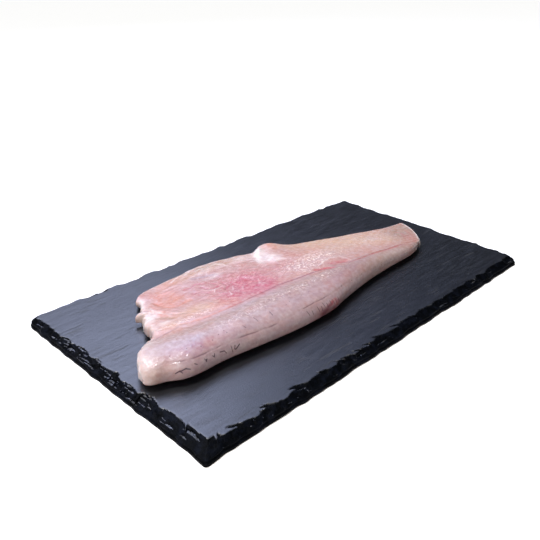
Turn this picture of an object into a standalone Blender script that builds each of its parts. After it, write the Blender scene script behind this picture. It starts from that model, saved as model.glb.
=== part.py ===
"""A raw zander fillet, skinned, lying flesh side up on a hand-chipped slate board.

Units are metres, +Z up. The origin is at the middle of the board's underside, +X runs along the board
and along the fillet from its head end to its tail end, and +Y runs from its back loin to its belly edge.
"""

import math
import random

import bmesh
import bpy
from mathutils import Vector, noise

# Slate board
BOARD_LENGTH = 0.350
BOARD_WIDTH = 0.198
BOARD_THICKNESS = 0.007
BEVEL_RUN_AT_ENDS = 0.0045
BEVEL_RUN_AT_SIDES = 0.0065
CORNER_RADII = (0.010, 0.008, 0.011, 0.004)
SMALLEST_RADIUS = 0.0012
CORNER_ROOM = 0.6
CORNER_STEPS = 3
SIDE_STEPS = (42, 74)
GRAIN_LENGTH = 0.0045
CHIP_COUNT = 64
CHIP_WIDTHS = (0.005, 0.014)
CHIP_DEPTHS = (0.0010, 0.0034)
CHIP_SEED = 11
# Each level of the chipped edge: its height as a share of the thickness, how far it stands in as a share
# of the bevel's run, how much of a chip's depth it takes, and how rough it is.
EDGE_LEVELS = (
    (0.00, 0.06, 0.05, 0.0003),
    (0.22, 0.00, 0.10, 0.0004),
    (0.48, 0.24, 0.45, 0.0006),
    (0.76, 0.62, 0.85, 0.0006),
    (1.00, 0.90, 1.00, 0.0005),
)

# Fillet outline on the board: its widest line along the loin, the seam between loin and belly flap, and
# the outer edge of the belly flap, each from the head cut to the tail cut.
LOIN_EDGE = (
    (-0.1645, -0.0312), (-0.1598, -0.0356), (-0.1520, -0.0382), (-0.1440, -0.0428), (-0.1330, -0.0448),
    (-0.1130, -0.0450), (-0.0870, -0.0482), (-0.0530, -0.0518), (-0.0200, -0.0516), (0.0040, -0.0468),
    (0.0380, -0.0412), (0.0680, -0.0388), (0.0970, -0.0378), (0.1110, -0.0354),
)
SEAM = (
    (-0.1400, -0.0020), (-0.1310, -0.0062), (-0.1060, -0.0118), (-0.0728, -0.0142), (-0.0338, -0.0150),
    (-0.0157, -0.0172), (0.0192, -0.0213), (0.0638, -0.0261), (0.0980, -0.0292), (0.1192, -0.0318),
)
BELLY_EDGE = (
    (-0.1080, 0.0570), (-0.0975, 0.0622), (-0.0620, 0.0655), (-0.0380, 0.0665), (-0.0120, 0.0612),
    (0.0020, 0.0545), (0.0090, 0.0555), (0.0165, 0.0592), (0.0245, 0.0565), (0.0350, 0.0440),
    (0.0640, 0.0318), (0.1010, 0.0180), (0.1290, 0.0082), (0.1455, 0.0058),
)

# Fillet heights above the board's top, as (share of the length from the head, height)
CREST_HEIGHT = (
    (0.0, 0.0150), (0.06, 0.0170), (0.22, 0.0182), (0.45, 0.0186), (0.65, 0.0177), (0.82, 0.0152),
    (0.93, 0.0122), (1.0, 0.0098),
)
SEAM_HEIGHT = (
    (0.0, 0.0125), (0.08, 0.0145), (0.25, 0.0158), (0.45, 0.0165), (0.62, 0.0165), (0.80, 0.0145),
    (0.92, 0.0118), (1.0, 0.0096),
)
HOLLOW_HEIGHT = (
    (0.0, 0.0092), (0.10, 0.0106), (0.30, 0.0112), (0.48, 0.0118), (0.65, 0.0135), (0.82, 0.0120),
    (1.0, 0.0088),
)
RIM_HEIGHT = ((0.0, 0.0062), (0.20, 0.0072), (0.44, 0.0078), (0.52, 0.0098), (0.62, 0.0088), (1.0, 0.0084))
# Where the loin is highest, as a share of the way from its edge to the seam
CREST_PLACE = ((0.0, 0.55), (0.35, 0.56), (0.60, 0.68), (0.80, 0.84), (1.0, 0.92))
# How square the loin's side is, from its edge up to its top: 2 is round
LOIN_SQUARENESS = 2.5
HOLLOW_PLACE = 0.42
RIM_PLACE = 0.90
LOIN_EDGE_HEIGHT = 0.0042
BELLY_EDGE_HEIGHT = 0.0026
LOIN_UNDERCUT = 0.0060
BELLY_UNDERCUT = 0.0030
SEAM_SHARE = 0.40
REST_GAP = 0.0003
SURFACE_WAVE = 0.0005
WAVE_LENGTH = 0.018
WAVE_FULL_HEIGHT = 0.006
THINNEST = 0.0004

# Ragged head cut: (place across, width across, how far it stands out) of each lobe, notch and flap
HEAD_LOBES = (
    (0.23, 0.13, 0.0056), (0.43, 0.060, -0.0044), (0.51, 0.045, -0.0018), (0.735, 0.024, 0.0032),
    (0.86, 0.06, -0.0016),
)
HEAD_RAGGED_LENGTH = 0.11
HEAD_ROUNDING = 0.030
HEAD_CUT_SHARE = 0.42
TAIL_BULGE = 0.0062
TAIL_BULGE_PLACE = (0.68, 0.28)
TAIL_BULGE_LENGTH = 0.05
TAIL_ROUNDING = 0.012
TAIL_CUT_SHARE = 0.76
NOTCH_LIFT = 0.0042
NOTCH_LIFT_LENGTH = 0.07
NOTCH_LIFT_WIDTH = 0.12

RISE_STEPS = 8
FALL_STEPS = 5
BELLY_STEPS = 11
RIM_STEPS = 4
STATION_COUNT = 62
END_STATIONS = (0.004, 0.010, 0.019)
CURVE_SAMPLES = 400
SHARE_STEP = 0.01

SLATE_COLOUR = (0.085, 0.092, 0.118)
SLATE_ROUGHNESS = 0.55
FLESH_COLOUR = (0.760, 0.480, 0.450)
FLESH_ROUGHNESS = 0.35
FLESH_SMOOTH_ANGLE = 50


def clear_scene():
    """Start from an empty scene."""
    for old in list(bpy.data.objects):
        bpy.data.objects.remove(old, do_unlink=True)


def plain_material(name, colour, roughness):
    """A Principled material of one colour."""
    material = bpy.data.materials.new(name)
    material.use_nodes = True
    surface = material.node_tree.nodes["Principled BSDF"]
    surface.inputs["Base Color"].default_value = (*colour, 1.0)
    surface.inputs["Roughness"].default_value = roughness
    surface.inputs["Metallic"].default_value = 0.0
    return material


def finish_object(name, mesh, material, smooth_angle):
    """Link a mesh to the scene with its material, shaded smooth up to an angle, or flat at 0."""
    mesh.materials.append(material)
    if smooth_angle:
        mesh.shade_smooth()
        mesh.set_sharp_from_angle(angle=math.radians(smooth_angle))
    piece = bpy.data.objects.new(name, mesh)
    bpy.context.scene.collection.objects.link(piece)
    return piece


def bell(value, middle, width):
    """1 at the middle, falling smoothly to nearly 0 at about twice the width."""
    return math.exp(-(((value - middle) / width) ** 2))


def hermite(p0, p1, m0, m1, t):
    """A cubic between two values with given end slopes."""
    t2 = t * t
    t3 = t2 * t
    return (2 * t3 - 3 * t2 + 1) * p0 + (t3 - 2 * t2 + t) * m0 + (3 * t2 - 2 * t3) * p1 + (t3 - t2) * m1


def profile(stops, at):
    """A smooth value through (place, value) stops."""
    if at <= stops[0][0]:
        return stops[0][1]
    if at >= stops[-1][0]:
        return stops[-1][1]
    slopes = []
    for i in range(len(stops)):
        low = stops[max(i - 1, 0)]
        high = stops[min(i + 1, len(stops) - 1)]
        slopes.append((high[1] - low[1]) / (high[0] - low[0]))
    i = max(k for k in range(len(stops) - 1) if stops[k][0] <= at)
    span = stops[i + 1][0] - stops[i][0]
    t = (at - stops[i][0]) / span
    return hermite(stops[i][1], stops[i + 1][1], slopes[i] * span, slopes[i + 1] * span, t)


class PlanCurve:
    """A smooth curve through plan points, read by its share of the length."""

    def __init__(self, points):
        ends = [Vector(p) for p in points]
        ends = [2 * ends[0] - ends[1], *ends, 2 * ends[-1] - ends[-2]]
        pieces = len(points) - 1
        self.samples = []
        for k in range(CURVE_SAMPLES + 1):
            place = min(k / CURVE_SAMPLES * pieces, pieces - 1e-9)
            i = int(place)
            before, start, end, after = ends[i : i + 4]
            self.samples.append(hermite(start, end, (end - before) / 2, (after - start) / 2, place - i))
        self.lengths = [0.0]
        for a, b in zip(self.samples, self.samples[1:]):
            self.lengths.append(self.lengths[-1] + (b - a).length)

    def at(self, share):
        """The plan point at this share of the curve's length."""
        wanted = share * self.lengths[-1]
        low, high = 0, len(self.lengths) - 1
        while high - low > 1:
            middle = (low + high) // 2
            if self.lengths[middle] <= wanted:
                low = middle
            else:
                high = middle
        t = (wanted - self.lengths[low]) / (self.lengths[high] - self.lengths[low])
        return self.samples[low].lerp(self.samples[high], t)


def direction(degrees):
    """The plan direction at this angle from +X."""
    return Vector((math.cos(math.radians(degrees)), math.sin(math.radians(degrees))))


def board_ring(inset_x, inset_y):
    """Points round the board's rectangle, set in this far, as (point, outward direction, room to cut in)."""
    corners = []
    for i, (side_x, side_y) in enumerate(((1, -1), (1, 1), (-1, 1), (-1, -1))):
        radius = max(CORNER_RADII[i] - min(inset_x, inset_y), SMALLEST_RADIUS)
        half_x = BOARD_LENGTH / 2 - inset_x - radius
        half_y = BOARD_WIDTH / 2 - inset_y - radius
        corners.append((Vector((side_x * half_x, side_y * half_y)), radius, 90 * (i - 1)))
    ring = []
    for i, (middle, radius, start) in enumerate(corners):
        for k in range(CORNER_STEPS + 1):
            out = direction(start + 90 * k / CORNER_STEPS)
            ring.append((middle + radius * out, out, CORNER_ROOM * radius))
        next_middle, next_radius, next_start = corners[(i + 1) % 4]
        out = direction(next_start)
        begin = ring[-1][0]
        end = next_middle + next_radius * out
        steps = SIDE_STEPS[i % 2]
        for k in range(1, steps):
            ring.append((begin.lerp(end, k / steps), out, BOARD_WIDTH))
    return ring


def chips_round(length):
    """Chips knocked off the board's edge: (place along the edge, width, depth)."""
    draw = random.Random(CHIP_SEED)
    chips = []
    for i in range(CHIP_COUNT):
        place = (i + draw.uniform(-0.4, 0.4)) / CHIP_COUNT * length
        chips.append((place, draw.uniform(*CHIP_WIDTHS), draw.uniform(*CHIP_DEPTHS)))
    return chips


def chip_depth(chips, place, length):
    """How deep the chips bite at a place along the edge: shallow bowls with sharp ridges between."""
    deepest = 0.0
    for middle, width, depth in chips:
        away = abs((place - middle + length / 2) % length - length / 2)
        if away < width:
            deepest = max(deepest, depth * (1 - (away / width) ** 2))
    return deepest


def make_board():
    """The slate board: flat above and below, with a bevel of chips all round."""
    edge = [point for point, _, _ in board_ring(0.0, 0.0)]
    places = [0.0]
    for a, b in zip(edge, edge[1:]):
        places.append(places[-1] + (b - a).length)
    length = places[-1] + (edge[0] - edge[-1]).length
    chips = chips_round(length)
    mesh_edit = bmesh.new()
    rings = []
    for height, run, bite, roughness in EDGE_LEVELS:
        ring = []
        for i, (point, out, room) in enumerate(board_ring(run * BEVEL_RUN_AT_ENDS, run * BEVEL_RUN_AT_SIDES)):
            grain = Vector((*edge[i], height * BOARD_THICKNESS)) / GRAIN_LENGTH
            cut = bite * chip_depth(chips, places[i], length) + roughness * abs(noise.noise(grain))
            spot = point - min(cut, room) * out
            ring.append(mesh_edit.verts.new((spot.x, spot.y, height * BOARD_THICKNESS)))
        rings.append(ring)
    for low, high in zip(rings, rings[1:]):
        for i in range(len(low)):
            k = (i + 1) % len(low)
            mesh_edit.faces.new((low[i], low[k], high[k], high[i]))
    mesh_edit.faces.new(list(reversed(rings[0])))
    mesh_edit.faces.new(rings[-1])
    mesh = bpy.data.meshes.new("slate_board")
    mesh_edit.to_mesh(mesh)
    mesh_edit.free()
    return finish_object("slate_board", mesh, plain_material("riven_slate", SLATE_COLOUR, SLATE_ROUGHNESS), 0)


def across_steps(crest_place):
    """Steps across the fillet, front to back: (part, share across that part, angle of its curve)."""
    steps = []
    for k in range(RISE_STEPS):
        angle = math.pi / 2 * k / RISE_STEPS
        steps.append(("loin", crest_place * (1 - math.cos(angle) ** (2 / LOIN_SQUARENESS)), angle))
    for k in range(FALL_STEPS):
        steps.append(("loin", crest_place + (1 - crest_place) * k / FALL_STEPS, math.pi / 2))
    for k in range(BELLY_STEPS):
        steps.append(("belly", RIM_PLACE * k / BELLY_STEPS, 0.0))
    for k in range(RIM_STEPS + 1):
        angle = math.pi / 2 * k / RIM_STEPS
        steps.append(("belly", RIM_PLACE + (1 - RIM_PLACE) * math.sin(angle), angle))
    return steps


def top_height(share, part, across, angle):
    """The flesh's height over the board at a station and a place across it."""
    crest = profile(CREST_HEIGHT, share)
    seam = profile(SEAM_HEIGHT, share)
    if part == "loin":
        place = profile(CREST_PLACE, share)
        if angle < math.pi / 2:
            return LOIN_EDGE_HEIGHT + (crest - LOIN_EDGE_HEIGHT) * math.sin(angle) ** (2 / LOIN_SQUARENESS)
        down = (across - place) / (1 - place)
        return seam + (crest - seam) * (1 + math.cos(math.pi * down)) / 2
    hollow = profile(HOLLOW_HEIGHT, share)
    rim = profile(RIM_HEIGHT, share)
    if across < RIM_PLACE:
        return profile(((0.0, seam), (HOLLOW_PLACE, hollow), (RIM_PLACE, rim)), across)
    return BELLY_EDGE_HEIGHT + (rim - BELLY_EDGE_HEIGHT) * math.cos(angle)


def undercut(distance, reach, height):
    """The height of a rounded underside at a distance in from its edge."""
    if distance >= reach:
        return 0.0
    return height * (1 - math.sqrt(1 - (1 - distance / reach) ** 2))


def end_share(share):
    """How much of its full thickness the fillet keeps near its two cut ends."""
    kept = 1.0
    if share < HEAD_ROUNDING:
        kept = HEAD_CUT_SHARE + (1 - HEAD_CUT_SHARE) * math.sqrt(1 - (1 - share / HEAD_ROUNDING) ** 2)
    if share > 1 - TAIL_ROUNDING:
        left = (1 - share) / TAIL_ROUNDING
        kept = TAIL_CUT_SHARE + (1 - TAIL_CUT_SHARE) * math.sqrt(1 - (1 - left) ** 2)
    return kept


def end_shift(share, across_all):
    """How far the two cuts stand out towards the head: ragged lobes there, and a round tail (minus)."""
    if share < HEAD_RAGGED_LENGTH:
        lobes = sum(out * bell(across_all, middle, width) for middle, width, out in HEAD_LOBES)
        return lobes * (1 - share / HEAD_RAGGED_LENGTH) ** 2
    if share > 1 - TAIL_BULGE_LENGTH:
        roundness = bell(across_all, *TAIL_BULGE_PLACE)
        return -TAIL_BULGE * roundness * (1 - (1 - share) / TAIL_BULGE_LENGTH)
    return 0.0


def station_shares():
    """The stations along the fillet, closer together at its two ends."""
    even = [k / (STATION_COUNT - 1) for k in range(STATION_COUNT)]
    near_ends = [*END_STATIONS, *(1 - s for s in END_STATIONS)]
    return sorted({*even, *near_ends})


def fillet_station(share, curves):
    """Matching points above and below, from the loin's edge to the belly's edge."""
    loin_edge, seam, belly_edge = (curve.at(share) for curve in curves)
    ahead = curves[1].at(min(share + SHARE_STEP, 1.0)) - curves[1].at(max(share - SHARE_STEP, 0.0))
    towards_head = -ahead.normalized()
    loin_width = (seam - loin_edge).length
    belly_width = (belly_edge - seam).length
    upper = []
    lower = []
    for part, across, angle in across_steps(profile(CREST_PLACE, share)):
        if part == "loin":
            spot = loin_edge.lerp(seam, across)
            across_all = SEAM_SHARE * across
            under = undercut(across * loin_width, LOIN_UNDERCUT, LOIN_EDGE_HEIGHT)
        else:
            spot = seam.lerp(belly_edge, across)
            across_all = SEAM_SHARE + (1 - SEAM_SHARE) * across
            under = undercut((1 - across) * belly_width, BELLY_UNDERCUT, BELLY_EDGE_HEIGHT)
        spot = spot + end_shift(share, across_all) * towards_head
        lift = NOTCH_LIFT * bell(share, 0.0, NOTCH_LIFT_LENGTH)
        lift *= bell(across_all, SEAM_SHARE, NOTCH_LIFT_WIDTH)
        height = top_height(share, part, across, angle)
        waviness = SURFACE_WAVE * min(height / WAVE_FULL_HEIGHT, 1.0)
        wave = waviness * noise.noise(Vector((spot.x, spot.y, 0.0)) / WAVE_LENGTH)
        floor = BOARD_THICKNESS + REST_GAP + under + lift
        thickness = (height + wave - under - lift) * end_share(share)
        if (part, across) in (("loin", 0.0), ("belly", 1.0)):
            thickness = 0.0
        else:
            thickness = max(thickness, THINNEST)
        upper.append(Vector((spot.x, spot.y, floor + thickness)))
        lower.append(Vector((spot.x, spot.y, floor)))
    return upper, lower


def make_fillet():
    """The fillet as one closed skin: a row of faces above, one below, and the two cut ends."""
    curves = [PlanCurve(points) for points in (LOIN_EDGE, SEAM, BELLY_EDGE)]
    mesh_edit = bmesh.new()
    tops = []
    bottoms = []
    for share in station_shares():
        upper, lower = fillet_station(share, curves)
        top = [mesh_edit.verts.new(p) for p in upper]
        inner = [mesh_edit.verts.new(p) for p in lower[1:-1]]
        tops.append(top)
        bottoms.append([top[0], *inner, top[-1]])
    for rows, facing in ((tops, 1), (bottoms, -1)):
        for near, far in zip(rows, rows[1:]):
            for i in range(len(near) - 1):
                corners = (near[i], far[i], far[i + 1], near[i + 1])
                mesh_edit.faces.new(corners[::facing])
    for top, bottom, facing in ((tops[0], bottoms[0], 1), (tops[-1], bottoms[-1], -1)):
        for i in range(len(top) - 1):
            corners = (bottom[i], top[i], top[i + 1], bottom[i + 1])
            corners = tuple(dict.fromkeys(corners))
            mesh_edit.faces.new(corners[::facing])
    bmesh.ops.recalc_face_normals(mesh_edit, faces=mesh_edit.faces)
    mesh = bpy.data.meshes.new("zander_fillet")
    mesh_edit.to_mesh(mesh)
    mesh_edit.free()
    material = plain_material("raw_fish_flesh", FLESH_COLOUR, FLESH_ROUGHNESS)
    return finish_object("zander_fillet", mesh, material, FLESH_SMOOTH_ANGLE)


def main():
    """Make the board and the fillet on it."""
    clear_scene()
    make_board()
    make_fillet()


main()
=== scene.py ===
"""A raw zander fillet on a hand-chipped slate board, dressed for its studio picture.

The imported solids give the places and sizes. The fillet and the board are modelled again here with their
fine relief, as one piece each, and stand for the two solids. Lengths are in metres, +Z is up.
"""

import math
import random

import bpy
import numpy as np
from mathutils import Matrix, Vector, noise


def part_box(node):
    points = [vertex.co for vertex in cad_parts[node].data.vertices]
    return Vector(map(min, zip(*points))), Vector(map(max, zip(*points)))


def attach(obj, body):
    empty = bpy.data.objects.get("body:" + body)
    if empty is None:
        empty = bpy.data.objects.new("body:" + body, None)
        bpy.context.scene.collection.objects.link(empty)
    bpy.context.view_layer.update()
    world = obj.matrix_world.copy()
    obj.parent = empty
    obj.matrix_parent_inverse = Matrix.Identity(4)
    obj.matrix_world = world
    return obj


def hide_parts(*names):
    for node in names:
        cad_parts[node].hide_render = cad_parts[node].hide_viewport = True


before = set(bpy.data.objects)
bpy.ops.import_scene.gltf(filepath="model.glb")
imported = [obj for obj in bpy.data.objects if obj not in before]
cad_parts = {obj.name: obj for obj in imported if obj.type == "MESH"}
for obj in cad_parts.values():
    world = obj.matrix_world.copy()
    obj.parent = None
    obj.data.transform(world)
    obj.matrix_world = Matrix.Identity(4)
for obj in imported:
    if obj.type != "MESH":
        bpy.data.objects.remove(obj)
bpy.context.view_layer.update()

bl_info = {
    "name": "Zander fillet on slate",
    "version": (1, 0, 0),
    "blender": (4, 5, 0),
    "location": "View3D > Sidebar > Fillet",
    "description": "Models a raw fish fillet on a slate board and lights it",
    "category": "Object",
}

MM = 0.001
BOARD_LOW, BOARD_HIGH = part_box("slate_board")
FILLET_LOW, FILLET_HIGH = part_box("zander_fillet")

# Fillet outline on the board, in metres: its widest line along the loin, the seam between loin and belly
# flap, and the outer edge of the belly flap, each from the head cut to the tail cut
LOIN_EDGE = (
    (-0.1622, -0.0284), (-0.1630, -0.0318), (-0.1596, -0.0352), (-0.1520, -0.0380), (-0.1440, -0.0428),
    (-0.1330, -0.0448), (-0.1130, -0.0450), (-0.0870, -0.0482), (-0.0530, -0.0518), (-0.0200, -0.0516),
    (0.0040, -0.0468), (0.0380, -0.0412), (0.0680, -0.0388), (0.0970, -0.0378), (0.1110, -0.0354),
)
SEAM = (
    (-0.1400, -0.0020), (-0.1310, -0.0062), (-0.1060, -0.0118), (-0.0728, -0.0142), (-0.0338, -0.0150),
    (-0.0157, -0.0172), (0.0192, -0.0213), (0.0638, -0.0261), (0.0980, -0.0292), (0.1192, -0.0318),
)
BELLY_EDGE = (
    (-0.1080, 0.0570), (-0.0975, 0.0622), (-0.0620, 0.0655), (-0.0380, 0.0665), (-0.0120, 0.0612),
    (0.0020, 0.0545), (0.0090, 0.0555), (0.0165, 0.0592), (0.0245, 0.0565), (0.0350, 0.0440),
    (0.0640, 0.0318), (0.1010, 0.0180), (0.1290, 0.0082), (0.1455, 0.0058),
)

# Fillet heights above the board, as (share of the length from the head, height)
CREST_HEIGHT = (
    (0.0, 0.0150), (0.06, 0.0170), (0.22, 0.0182), (0.45, 0.0186), (0.65, 0.0177), (0.82, 0.0152),
    (0.93, 0.0122), (1.0, 0.0098),
)
SEAM_HEIGHT = (
    (0.0, 0.0125), (0.08, 0.0145), (0.25, 0.0158), (0.45, 0.0165), (0.62, 0.0165), (0.80, 0.0145),
    (0.92, 0.0118), (1.0, 0.0096),
)
HOLLOW_HEIGHT = (
    (0.0, 0.0092), (0.10, 0.0106), (0.30, 0.0112), (0.48, 0.0118), (0.65, 0.0135), (0.82, 0.0120),
    (1.0, 0.0088),
)
RIM_HEIGHT = ((0.0, 0.0062), (0.20, 0.0072), (0.44, 0.0078), (0.52, 0.0098), (0.62, 0.0088), (1.0, 0.0084))
LOIN_EDGE_HEIGHT = 4.2 * MM
BELLY_EDGE_HEIGHT = 2.6 * MM
# Where the crest runs, as (share of the length, share from the loin's edge to the seam), and where the
# hollow and the rim run, as shares from the seam to the belly's edge
CREST_PLACE = ((0.0, 0.55), (0.35, 0.56), (0.60, 0.68), (0.80, 0.84), (1.0, 0.92))
HOLLOW_PLACE = 0.42
RIM_PLACE = 0.90
# The seam's share of the whole width, and how square the loin's side is: 2 would be round
SEAM_SHARE = 0.40
LOIN_SQUARENESS = 2.5
# The underside from the edge in: (share of the undercut's reach, share of the edge's height)
UNDERCUT = ((0.05, 0.84), (0.28, 0.76), (0.52, 0.64), (0.74, 0.46), (0.90, 0.24), (1.0, 0.0))
LOIN_UNDERCUT = 6.0 * MM
BELLY_UNDERCUT = 3.0 * MM
# The two cuts: how far in their upper edges are rounded, and how square they are
HEAD_ROUNDING = 5.0 * MM
HEAD_BLUNTNESS = 3.0
TAIL_ROUNDING = 3.2 * MM
TAIL_BLUNTNESS = 3.2
# The loin's outer corner sinks at the head, and the skin is kept up where the seam meets the cut
HEAD_DROOP = 0.25
HEAD_DROOP_LENGTH = 0.035
HEAD_DROOP_SIDE = (0.02, 0.20)
NOTCH_LIFT = 4.2 * MM
NOTCH_LIFT_LENGTH = 0.07
NOTCH_LIFT_WIDTH = 0.12
# Ragged head cut: (place across, width across, how far it stands out), and a fine fringe over it
HEAD_LOBES = (
    (0.19, 0.15, 5.3 * MM), (0.43, 0.060, -3.6 * MM), (0.51, 0.045, -1.8 * MM), (0.735, 0.010, 4.6 * MM),
    (0.055, 0.030, 1.5 * MM), (0.86, 0.06, -1.6 * MM), (0.70, 0.012, -1.4 * MM), (0.80, 0.022, 1.0 * MM),
    (0.93, 0.03, 0.8 * MM),
)
HEAD_RAGGED_LENGTH = 0.11
HEAD_WIDTH = 98.0 * MM
# The fringe as noise: (height, size of its bumps, seed), the second field 2.2 times as fine
FRINGE = ((1.7 * MM, 5.0 * MM, 3.0), (1.02 * MM, 5.0 / 2.2 * MM, 8.0))
FRINGE_LENGTH = 0.05
# The fringe is this share of itself at the loin's side, and whole from there on across
FRINGE_LEAST = 0.4
FRINGE_SIDE = (0.25, 0.45)
# The round tail cut: (middle, width) across it, how far it bulges and over what share of the length
TAIL_BULGE_PLACE = (0.68, 0.28)
TAIL_BULGE = 6.2 * MM
TAIL_BULGE_LENGTH = 0.05

# Mesh steps of the fillet
RISE_STEPS = 54
FALL_STEPS = 26
BELLY_STEPS = 96
RIM_STEPS = 12
STATION_LENGTH = 0.66 * MM
END_STEPS = 12
CURVE_SAMPLES = 3000
LENGTH_SAMPLES = 200
SHARE_STEP = 0.01
BASE_SMOOTHING = 260
EDGE_MARGIN = 5


def hermite(p0, p1, m0, m1, t):
    """A cubic between two values with given end slopes."""
    t2 = t * t
    t3 = t2 * t
    return (2 * t3 - 3 * t2 + 1) * p0 + (t3 - 2 * t2 + t) * m0 + (3 * t2 - 2 * t3) * p1 + (t3 - t2) * m1


def profile(stops, at):
    """Smooth values through (place, value) stops, for an array of places."""
    places = np.array([stop[0] for stop in stops])
    values = np.array([stop[1] for stop in stops])
    low = np.maximum(np.arange(len(stops)) - 1, 0)
    high = np.minimum(np.arange(len(stops)) + 1, len(stops) - 1)
    slopes = (values[high] - values[low]) / (places[high] - places[low])
    at = np.clip(at, places[0], places[-1])
    i = np.clip(np.searchsorted(places, at, side="right") - 1, 0, len(stops) - 2)
    span = places[i + 1] - places[i]
    return hermite(values[i], values[i + 1], slopes[i] * span, slopes[i + 1] * span, (at - places[i]) / span)


def plan_curve(points, shares):
    """Plan points of a smooth curve at shares of its length."""
    ends = np.array(points)
    ends = np.vstack((2 * ends[0] - ends[1], ends, 2 * ends[-1] - ends[-2]))
    place = np.linspace(0, len(points) - 1, CURVE_SAMPLES)
    i = np.minimum(place.astype(int), len(points) - 2)
    before, start, end, after = (ends[i + k] for k in range(4))
    samples = hermite(start, end, (end - before) / 2, (after - start) / 2, (place - i)[:, None])
    steps = np.linalg.norm(np.diff(samples, axis=0), axis=1)
    lengths = np.concatenate(((0.0,), np.cumsum(steps)))
    at = np.asarray(shares) * lengths[-1]
    return np.stack([np.interp(at, lengths, samples[:, axis]) for axis in (0, 1)], axis=-1)


def bell(value, middle, width):
    """1 at the middle, falling smoothly to nearly 0 at about twice the width."""
    return np.exp(-(((value - middle) / width) ** 2))


def smooth(low, high, value):
    """0 below low, 1 above high, and smooth between."""
    t = np.clip((value - low) / (high - low), 0.0, 1.0)
    return t * t * (3 - 2 * t)


def between(value, start, full, fade, end):
    """0 up to the start, 1 from full to fade, and 0 again from the end on."""
    return smooth(start, full, value) * (1 - smooth(fade, end, value))


def grain(points, size, seed=0.0, stretch=(1.0, 1.0, 1.0)):
    """Smooth noise from -1 to 1 at points, with bumps of this size."""
    scaled = points * (np.array(stretch) / size)
    values = [noise.noise((x + seed, y, z)) for x, y, z in scaled.reshape(-1, 3)]
    return np.reshape(values, scaled.shape[:-1])


def unevenness(points, *fields):
    """Noise fields added up at points, each as (height, size of its bumps, seed) and any stretch."""
    return sum(height * grain(points, *field) for height, *field in fields)


def strip(distance, height, place, width):
    """A ridge or tint of this height beside a line, at a distance from it and of this half-width."""
    return height * bell(distance, place, width)


def points_of(piece):
    """The piece's vertices as an array."""
    flat = np.empty(len(piece.data.vertices) * 3, np.float32)
    piece.data.vertices.foreach_get("co", flat)
    return flat.reshape(-1, 3).astype(float)


def place_points(piece, points):
    """Move the piece's vertices to these places."""
    piece.data.vertices.foreach_set("co", points.astype(np.float32).ravel())
    piece.data.update()


def move_ring(piece, ring, target):
    """Move the piece's selected vertices, which lie on one ring of points, to the matching target points."""
    chosen = np.empty(len(piece.data.vertices), bool)
    piece.data.vertices.foreach_get("select", chosen)
    points = points_of(piece)
    gaps = np.linalg.norm(points[chosen][:, None] - ring[None], axis=2)
    points[chosen] = target[np.argmin(gaps, axis=1)]
    place_points(piece, points)


def ramp(count):
    """0 at both ends of a row of points, rising to 1 a few points in."""
    place = np.arange(count)
    return smooth(0, EDGE_MARGIN, np.minimum(place, count - 1 - place))


def store(piece, name, values):
    """Keep one number for each vertex, for the material to read."""
    layer = piece.data.attributes.new(name, "FLOAT", "POINT")
    layer.data.foreach_set("value", np.asarray(values, np.float32))


def end_rows(rounding, bluntness, length):
    """Rows round a cut end, from its edge up: (share of the length in, share of the height)."""
    rows = []
    for k in range(END_STEPS):
        angle = math.pi / 2 * k / END_STEPS
        inset = 1 - math.cos(angle) ** (2 / bluntness)
        rows.append((rounding * inset / length, math.sin(angle) ** (2 / bluntness)))
    return rows


def fillet_rows():
    """Every row from the head to the tail: (place along, share of the height)."""
    spine = plan_curve(SEAM, np.linspace(0, 1, LENGTH_SAMPLES))
    length = np.linalg.norm(np.diff(spine, axis=0), axis=1).sum()
    head = end_rows(HEAD_ROUNDING, HEAD_BLUNTNESS, length)
    tail = end_rows(TAIL_ROUNDING, TAIL_BLUNTNESS, length)
    first = HEAD_ROUNDING / length
    last = 1 - TAIL_ROUNDING / length
    count = round((last - first) * length / STATION_LENGTH)
    middle = [(share, 1.0) for share in np.linspace(first, last, count)]
    return np.array(head + middle + [(1 - share, height) for share, height in reversed(tail)])


def fillet_columns(crest_place):
    """Columns from the loin's edge, over the top, to the belly's edge, for all rows.

    Each is (is it belly, place across its part, share of its rise from the edge).
    """
    columns = []
    for k in range(RISE_STEPS):
        angle = math.pi / 2 * k / RISE_STEPS
        across = crest_place * (1 - math.cos(angle) ** (2 / LOIN_SQUARENESS))
        columns.append((False, across, math.sin(angle) ** (2 / LOIN_SQUARENESS)))
    for k in range(FALL_STEPS):
        columns.append((False, crest_place + (1 - crest_place) * k / FALL_STEPS, 1.0))
    for k in range(BELLY_STEPS):
        columns.append((True, np.full(len(crest_place), RIM_PLACE * k / BELLY_STEPS), 1.0))
    for k in range(RIM_STEPS + 1):
        angle = math.pi / 2 * k / RIM_STEPS
        across = RIM_PLACE + (1 - RIM_PLACE) * math.sin(angle)
        columns.append((True, np.full(len(crest_place), across), math.cos(angle)))
    return columns


def end_shift(share, across_all):
    """How far the two cuts stand out towards the head: ragged lobes there, and a round tail (minus)."""
    lobes = sum(out * bell(across_all, middle, width) for middle, width, out in HEAD_LOBES)
    lobes = lobes * np.clip(1 - share / HEAD_RAGGED_LENGTH, 0, 1) ** 2
    torn = np.column_stack((across_all * HEAD_WIDTH, share * 0, share * 0))
    fringe = unevenness(torn, *FRINGE) * np.clip(1 - share / FRINGE_LENGTH, 0, 1)
    lobes = lobes + fringe * (FRINGE_LEAST + (1 - FRINGE_LEAST) * smooth(*FRINGE_SIDE, across_all))
    roundness = bell(across_all, *TAIL_BULGE_PLACE) * np.clip(1 - (1 - share) / TAIL_BULGE_LENGTH, 0, 1)
    return lobes - TAIL_BULGE * roundness


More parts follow.
